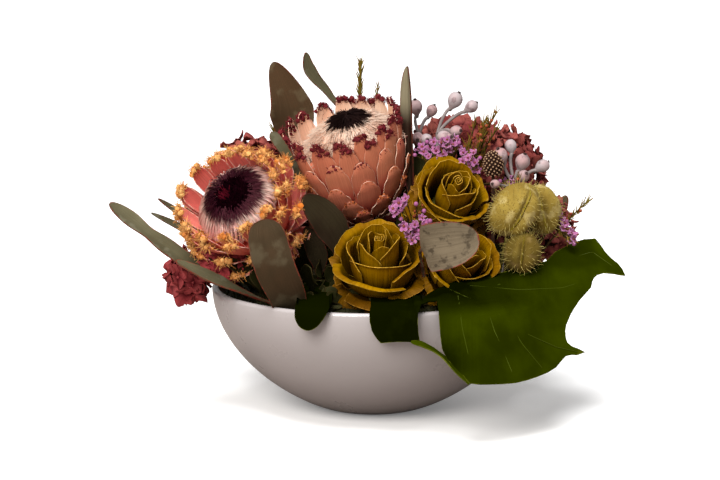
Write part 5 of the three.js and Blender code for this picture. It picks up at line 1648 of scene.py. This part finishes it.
def make_stage(settings):
    """A pale floor, soft light from the upper left and front, and the camera."""
    ring = heading(np.linspace(0, 2 * np.pi, FLOOR_SIDES, endpoint=False)) * FLOOR_RADIUS
    mesh = bpy.data.meshes.new("floor")
    mesh.from_pydata(ring.tolist(), [], [list(range(FLOOR_SIDES))])
    floor = bpy.data.objects.new("floor", mesh)
    bpy.context.scene.collection.objects.link(floor)
    material = bpy.data.materials.new("pale_floor")
    material.use_nodes = True
    tree = material.node_tree
    shader = tree.nodes["Principled BSDF"]
    shade = tuple(c * 0.99 for c in settings.floor)
    seen = blend_colours(tree, mask(tree, "Blotches", Scale=3.0), settings.floor, shade)
    dull = tuple(c * settings.bounce * k for c, k in zip(settings.floor, (1.0, 0.86, 0.78)))
    ray = node(tree, "ShaderNodeLightPath").outputs["Is Camera Ray"]
    tree.links.new(blend_colours(tree, ray, dull, seen), shader.inputs["Base Color"])
    shader.inputs["Roughness"].default_value = 0.9
    shader.inputs["Specular IOR Level"].default_value = 0.0
    shader.inputs["Emission Color"].default_value = (1, 1, 1, 1)
    tree.links.new(times(tree, ray, settings.glow), shader.inputs["Emission Strength"])
    mesh.materials.append(material)

    world = bpy.data.worlds.new("soft_room")
    bpy.context.scene.world = world
    world.use_nodes = True
    sky = world.node_tree.nodes["Background"]
    sky.inputs["Color"].default_value = (1, 0.99, 0.98, 1)
    sky.inputs["Strength"].default_value = settings.room_light

    def lamp(name, kind, place, aim, energy, **options):
        """Adds a light that shines from its place towards an aim."""
        light = bpy.data.lights.new(name, kind)
        light.energy = energy
        for key, value in options.items():
            setattr(light, key, value)
        made = bpy.data.objects.new(name, light)
        made.location = place
        made.rotation_euler = (Vector(aim) - Vector(place)).to_track_quat("-Z", "Y").to_euler()
        bpy.context.scene.collection.objects.link(made)

    lamp("key_light", "SUN", SUN_FROM, (0, 0, 0), settings.key_light, angle=math.radians(30))
    panel = {"shape": "RECTANGLE", "size": PANEL_SIDE, "size_y": PANEL_SIDE, "color": PANEL_COLOUR}
    lamp("front_panel", "AREA", PANEL_FROM, PANEL_AT, settings.panel_light, **panel)

    place, _, _, forward = camera_axes()
    data = bpy.data.cameras.new("camera")
    data.lens, data.sensor_width = CAMERA["lens"], CAMERA["sensor"]
    data.clip_start, data.clip_end = 0.05, 100
    camera = bpy.data.objects.new("camera", data)
    camera.location = place * MM
    camera.rotation_euler = Vector(forward).to_track_quat("-Z", "Y").to_euler()
    bpy.context.scene.collection.objects.link(camera)
    bpy.context.scene.camera = camera
    view = bpy.context.scene.view_settings
    view.view_transform, view.look, view.exposure, view.gamma = "Standard", "None", EXPOSURE, 1.0


# Settings


def colour_setting(name, description, default):
    """A colour that the sidebar shows."""
    return FloatVectorProperty(
        name=name, description=description, subtype="COLOR", size=3, min=0, max=1, default=default)


class BowlSettings(bpy.types.PropertyGroup):
    """Finish of the bowl."""

    glaze: colour_setting("Glaze", "Colour of the white glaze", srgb(164, 158, 158))


class MossSettings(bpy.types.PropertyGroup):
    """The bed that hides the foam."""

    colour: colour_setting("Moss", "Colour of the moss", srgb(18, 18, 8))
    blades: IntProperty(
        name="Blades", description="How many short blades stand on the moss", default=1500, min=0, max=8000)
    leaves: IntProperty(
        name="Filling leaves", description="How many low leaves fill the gaps", default=190, min=0, max=600)
    leaf: colour_setting("Filling leaf", "Colour of the low dark leaves", srgb(24, 26, 10))


class ProteaSettings(bpy.types.PropertyGroup):
    """The two protea heads."""

    top_bract: colour_setting("Upper bracts", "Colour of the upper head's bracts", srgb(252, 132, 106))
    left_bract: colour_setting("Left bracts", "Colour of the left head's bracts", srgb(206, 80, 66))
    tuft_hairs: IntProperty(
        name="Tuft hairs", description="Hairs in the tuft at each bract's tip", default=118, min=4, max=140)
    styles: IntProperty(
        name="Styles", description="Styles inside each head", default=1000, min=50, max=3000)
    dark_hairs: IntProperty(
        name="Dark hairs", description="Hairs of each head's dark middle", default=700, min=50, max=3000)


class RoseSettings(bpy.types.PropertyGroup):
    """The three waxed roses."""

    petal: colour_setting("Petals", "Main colour of the petals", srgb(177, 133, 2))
    inner: colour_setting("Petal shade", "Second colour of the petals", srgb(124, 79, 2))
    rim: colour_setting("Petal rims", "Colour of the worn petal rims", srgb(190, 148, 54))


class LeafSettings(bpy.types.PropertyGroup):
    """The long leathery leaves."""

    face: colour_setting("Upper side", "Colour of the leaves' upper side", srgb(70, 50, 34))
    edge: colour_setting("Margins", "Colour of the thin red margins", srgb(122, 50, 38))


class BladeSettings(bpy.types.PropertyGroup):
    """The cut-leaf blade."""

    # Both colours are the darkest greens, painted shade on the finger and over the crest; make_blade gives
    # the lighter greens.
    colour: colour_setting("Upper side", "Colour of the blade's upper side", srgb(12, 16, 0))
    underside: colour_setting("Underside", "Colour of the blade's underside", srgb(18, 24, 0))


class SpraySettings(bpy.types.PropertyGroup):
    """Hydrangea, gum nuts, wax flower, needles and seed heads."""

    hydrangea: colour_setting("Hydrangea", "Main colour of the hydrangea", srgb(124, 42, 46))
    nut: colour_setting("Gum nuts", "Colour of the nuts' bloom", srgb(186, 176, 178))
    wax: colour_setting("Wax flower", "Colour of the small five-petalled flowers", srgb(180, 110, 152))
    needle: colour_setting("Needles", "Colour of the needle foliage", srgb(120, 112, 32))


class PodSettings(bpy.types.PropertyGroup):
    """The hairy pods."""

    skin: colour_setting("Skin", "Colour of the pods", srgb(176, 152, 72))
    hair_length: FloatProperty(
        name="Hair length", description="Length of the pods' hairs", default=0.0045, unit="LENGTH")


class StageSettings(bpy.types.PropertyGroup):
    """Floor and light."""

    floor: colour_setting("Floor", "Colour of the floor", (0.98, 0.98, 0.98))
    bounce: FloatProperty(
        name="Bounce", description="Share of the floor's light that reaches the object", default=0.31,
        min=0, max=1)
    glow: FloatProperty(
        name="Floor glow", description="Light that lifts the floor's shadows for the camera", default=0.1,
        min=0)
    room_light: FloatProperty(
        name="Room light", description="Strength of the light from all round", default=0.34, min=0)
    key_light: FloatProperty(name="Key light", description="Strength of the soft sun", default=2.5, min=0)
    panel_light: FloatProperty(
        name="Panel light", description="Power of the soft panel in front", default=16.0, min=0)


SETTINGS = {
    "centrepiece_bowl": BowlSettings,
    "centrepiece_moss": MossSettings,
    "centrepiece_proteas": ProteaSettings,
    "centrepiece_roses": RoseSettings,
    "centrepiece_leaves": LeafSettings,
    "centrepiece_blade": BladeSettings,
    "centrepiece_sprays": SpraySettings,
    "centrepiece_pods": PodSettings,
    "centrepiece_stage": StageSettings,
}


# Operators


class AddBowl(bpy.types.Operator):
    """Adds the glazed bowl."""

    bl_idname = "centrepiece.add_bowl"
    bl_label = "Bowl"

    def execute(self, context):
        make_bowl(context.scene.centrepiece_bowl)
        return {"FINISHED"}


class AddMoss(bpy.types.Operator):
    """Adds the moss bed and the low foliage that fills the gaps."""

    bl_idname = "centrepiece.add_moss"
    bl_label = "Moss and low foliage"

    def execute(self, context):
        settings = context.scene.centrepiece_moss
        make_moss(settings)
        dark = tissue(
            "filling_leaf", settings.leaf, srgb(40, 38, 16), rim=srgb(50, 40, 20), rim_width=0.5,
            lines=10.0, specular=0.2)
        make_filling(settings, [dark])
        return {"FINISHED"}


class AddProteas(bpy.types.Operator):
    """Adds the two protea heads."""

    bl_idname = "centrepiece.add_proteas"
    bl_label = "Proteas"

    def execute(self, context):
        for where in PROTEAS:
            make_protea(where, context.scene.centrepiece_proteas)
        return {"FINISHED"}


class AddRoses(bpy.types.Operator):
    """Adds the three roses."""

    bl_idname = "centrepiece.add_roses"
    bl_label = "Roses"

    def execute(self, context):
        settings = context.scene.centrepiece_roses
        skin = {"mottle": 40.0, "lines": 16.0, "line_strength": 0.4}
        fresh = {"rim": settings.rim, "roughness": 0.42, "bump": 0.6, **skin}
        # The root colours darken every petal towards its base: painted shade deep in the cup. The inner faces
        # (rose_inner_face) get the darkest, longest root colour: painted shade inside the cup.
        petal = tissue(
            "rose_petal", settings.petal, settings.inner, root=srgb(56, 32, 0), root_to=(0.15, 0.92),
            rim_width=0.22, specular=0.25, **fresh)
        worn = tissue(
            "rose_outer_petal", srgb(124, 86, 0), srgb(98, 62, 2), root=srgb(44, 24, 0),
            root_to=(0.15, 0.92), rim=srgb(184, 132, 52), rim_width=0.3, roughness=0.5, bump=0.7,
            specular=0.2, **skin)
        lining = tissue(
            "rose_inner_face", settings.petal, settings.inner, root=srgb(30, 16, 0), root_to=(0.35, 0.98),
            rim_width=0.2, specular=0.2, **fresh)
        leafy = tissue("rose_stem", srgb(60, 62, 20), srgb(84, 78, 30))
        for where in ROSES:
            make_rose(where, [petal, leafy, worn, lining])
        return {"FINISHED"}


class AddLeaves(bpy.types.Operator):
    """Adds the long leathery leaves."""

    bl_idname = "centrepiece.add_leaves"
    bl_label = "Long leaves"

    def execute(self, context):
        settings = context.scene.centrepiece_leaves
        edged = {"rim": settings.edge, "rim_width": 0.7}
        lined = {"lines": 12.0, "specular": 0.2, **edged}
        plain = tissue(
            "leathery_leaf", settings.face, srgb(54, 44, 30), mottle=34.0, line_strength=0.16,
            smudge_and_highlight=srgb(82, 73, 56), smudge_scale=44.0, **lined)
        back = tissue(
            "leathery_leaf_underside", srgb(96, 86, 64), srgb(80, 70, 52), mottle=38.0, roughness=0.7,
            **lined)
        olive = tissue(
            "olive_leaf", srgb(94, 90, 68), srgb(76, 70, 50), mottle=44.0, lines=9.0, line_strength=0.3,
            specular=0.25, smudge_and_highlight=srgb(108, 105, 86), smudge_scale=90.0, **edged)
        grey = tissue(
            "grey_leaf", srgb(126, 113, 92), srgb(104, 92, 74), rim=srgb(140, 52, 44), mottle=70.0,
            lines=9.0, line_strength=0.2, roughness=0.55, specular=0.25, smudge_and_highlight=srgb(50, 42, 32),
            smudge_scale=150.0)
        # The dark root colour over the pale leaf's lower part is painted shade, where the leaf turns away
        # from the light.
        pale = tissue(
            "pale_leaf", srgb(142, 134, 110), srgb(126, 116, 92), root=srgb(44, 24, 18),
            root_to=(0.5, 0.66), rim=srgb(120, 56, 48), rim_width=0.6, mottle=44.0, lines=9.0,
            specular=0.25)
        dark = tissue(
            "shaded_leaf", srgb(50, 46, 30), srgb(34, 24, 16), rim=srgb(84, 36, 28), rim_width=0.7,
            mottle=38.0, lines=12.0, line_strength=0.3, specular=0.2)
        broad = tissue(
            "broad_leaf", srgb(84, 62, 42), srgb(66, 52, 36), mottle=30.0, line_strength=0.15,
            smudge_and_highlight=srgb(98, 84, 62), smudge_scale=60.0, **lined)
        looks = {"back_broad": (broad, back), "pointing_right": (grey, grey), "beside_right": (pale, dark)}
        looks |= dict.fromkeys(("middle_dark", "middle_low"), (dark, dark))
        looks |= dict.fromkeys(("long_left", "low_left"), (olive, back))
        looks |= dict.fromkeys(
            ("beside_left", "back_narrow", "small_left", "small_left_upper"), (olive, olive))
        for where in LEAVES:
            make_leaf(where, looks.get(where, (plain, back)))
        return {"FINISHED"}


class AddBlade(bpy.types.Operator):
    """Adds the cut-leaf blade."""

    bl_idname = "centrepiece.add_blade"
    bl_label = "Cut-leaf blade"

    def execute(self, context):
        make_blade(context.scene.centrepiece_blade)
        return {"FINISHED"}


class AddHydrangeas(bpy.types.Operator):
    """Adds the hydrangea heads."""

    bl_idname = "centrepiece.add_hydrangeas"
    bl_label = "Hydrangea"

    def execute(self, context):
        settings = context.scene.centrepiece_sprays
        dusty = {
            "root_to": (0.0, 0.6), "rim_width": 0.4, "mottle": 36.0, "lines": 7.0, "line_strength": 0.4,
            "roughness": 0.7, "bump": 0.3, "specular": 0.2}
        # The root colours darken each petal towards its floret's heart: painted shade deep in the head.
        petal = tissue(
            "hydrangea_petal", settings.hydrangea, srgb(184, 104, 92), root=srgb(78, 20, 26),
            rim=srgb(112, 44, 40), **dusty)
        twig = tissue("hydrangea_stalk", srgb(44, 16, 14), srgb(58, 28, 20), roughness=0.8)
        pink = tissue(
            "pink_hydrangea_petal", srgb(150, 50, 56), srgb(182, 84, 84), root=srgb(92, 20, 28),
            rim=srgb(136, 50, 50), **dusty)
        for where in HYDRANGEAS:
            make_hydrangea(where, pink if where == "low_left" else petal, twig)
        return {"FINISHED"}


class AddGumNuts(bpy.types.Operator):
    """Adds the sprays of gum nuts."""

    bl_idname = "centrepiece.add_gum_nuts"
    bl_label = "Gum nuts"

    def execute(self, context):
        settings = context.scene.centrepiece_sprays
        skin = tissue(
            "nut_bloom", settings.nut, srgb(186, 140, 138), root=srgb(146, 132, 130), root_to=(0.0, 0.4),
            mottle=70.0, lines=4.0, line_strength=0.15, roughness=0.55, bump=0.3,
            smudge_and_highlight=srgb(132, 112, 114), smudge_scale=210.0)
        bark = tissue(
            "nut_stalk", srgb(150, 140, 138), srgb(118, 106, 104), mottle=120.0, roughness=0.75, bump=0.4)
        beak = tissue("nut_beak", srgb(70, 56, 54), srgb(52, 40, 38), roughness=0.8)
        for where in GUM_NUTS:
            make_gum_nuts(where, skin, bark, beak)
        return {"FINISHED"}


class AddWaxFlowers(bpy.types.Operator):
    """Adds the sprays of wax flower and the needle twigs."""

    bl_idname = "centrepiece.add_wax_flowers"
    bl_label = "Wax flower and twigs"

    def execute(self, context):
        settings = context.scene.centrepiece_sprays
        petal = tissue(
            "wax_petal", settings.wax, srgb(158, 88, 140), root=srgb(104, 40, 66), root_to=(0.0, 0.45),
            rim=srgb(206, 158, 192), rim_width=0.3, mottle=120.0, roughness=0.55, bump=0.15)
        heart = tissue("wax_heart", srgb(96, 34, 52), srgb(136, 76, 62), roughness=0.7)
        stalk = tissue("wax_stalk", srgb(70, 46, 28), srgb(62, 56, 24), roughness=0.75)
        needle = tissue(
            "needle", settings.needle, srgb(128, 104, 38), tip=srgb(146, 88, 36), roughness=0.65)
        seed = tissue("orange_seed", srgb(176, 96, 60), srgb(140, 62, 44), roughness=0.7)
        for where in WAX_FLOWERS:
            make_wax_flower(where, [petal, heart, stalk, needle])
        for where in TWIGS:
            make_twig(where, [needle, stalk, seed])
        return {"FINISHED"}


class AddPods(bpy.types.Operator):
    """Adds the hairy pods and the seed heads."""

    bl_idname = "centrepiece.add_pods"
    bl_label = "Pods and seed heads"

    def execute(self, context):
        settings = context.scene.centrepiece_pods
        papery = {
            "rim_width": 1.6, "lines": 5.0, "line_strength": 0.3, "roughness": 0.7, "bump": 0.5,
            "specular": 0.15, "smudge_scale": 90.0}
        # The cream smudges on both skins are partly paler patches of the papery skin, partly painted
        # highlights.
        skin = tissue(
            "pod_skin", settings.skin, srgb(134, 106, 40), rim=srgb(168, 150, 36), speck=srgb(120, 94, 36),
            speck_scale=700.0, smudge_and_highlight=srgb(204, 184, 120), depth=0.6, **papery)
        shaded = tissue(
            "shaded_pod_skin", settings.skin, srgb(134, 106, 40), rim=srgb(150, 130, 36),
            smudge_and_highlight=srgb(190, 160, 96), depth=0.31, **papery)
        hair = tissue("pod_hair", srgb(206, 190, 116), srgb(176, 152, 80), roughness=0.7)
        stalk = tissue("pod_stalk", srgb(110, 104, 44), srgb(92, 82, 36), roughness=0.7)
        for where in PODS:
            make_pod(where, [shaded if where == "lower" else skin, hair, stalk], settings)
        dark = tissue("seed_head_scale", srgb(58, 38, 28), srgb(40, 26, 20), roughness=0.8)
        bead = tissue(
            "seed_bead", srgb(74, 46, 34), srgb(60, 36, 30), tip=srgb(176, 146, 112), tip_from=(0.6, 0.95),
            roughness=0.7)
        for where in SEED_HEADS:
            make_seed_head(where, [dark, bead])
        return {"FINISHED"}


class AddStage(bpy.types.Operator):
    """Adds the floor, the lights and the camera."""

    bl_idname = "centrepiece.add_stage"
    bl_label = "Floor, lights and camera"

    def execute(self, context):
        make_stage(context.scene.centrepiece_stage)
        return {"FINISHED"}


OPERATORS = (
    AddBowl, AddMoss, AddProteas, AddRoses, AddLeaves, AddBlade, AddHydrangeas, AddGumNuts, AddWaxFlowers,
    AddPods, AddStage,
)


class CentrepiecePanel(bpy.types.Panel):
    """Lists the pieces of the centrepiece and their settings."""

    bl_idname = "VIEW3D_PT_centrepiece"
    bl_label = "Floral centrepiece"
    bl_space_type = "VIEW_3D"
    bl_region_type = "UI"
    bl_category = "Centrepiece"

    def draw(self, context):
        for operator in OPERATORS:
            self.layout.operator(operator.bl_idname)
        for key, group in SETTINGS.items():
            box = self.layout.box()
            for name in group.__annotations__:
                box.prop(getattr(context.scene, key), name)


CLASSES = (*SETTINGS.values(), *OPERATORS, CentrepiecePanel)


def register():
    """Registers the classes and hangs each group of settings on the scene."""
    for cls in CLASSES:
        bpy.utils.register_class(cls)
    for key, group in SETTINGS.items():
        setattr(bpy.types.Scene, key, PointerProperty(type=group))


def unregister():
    """Takes the settings and the classes away again."""
    for key in SETTINGS:
        delattr(bpy.types.Scene, key)
    for cls in reversed(CLASSES):
        bpy.utils.unregister_class(cls)


def main():
    """Registers the classes and runs every operator."""
    register()
    for operator in OPERATORS:
        group, name = operator.bl_idname.split(".")
        getattr(getattr(bpy.ops, group), name)()
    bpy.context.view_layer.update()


if __name__ == "__main__":
    main()
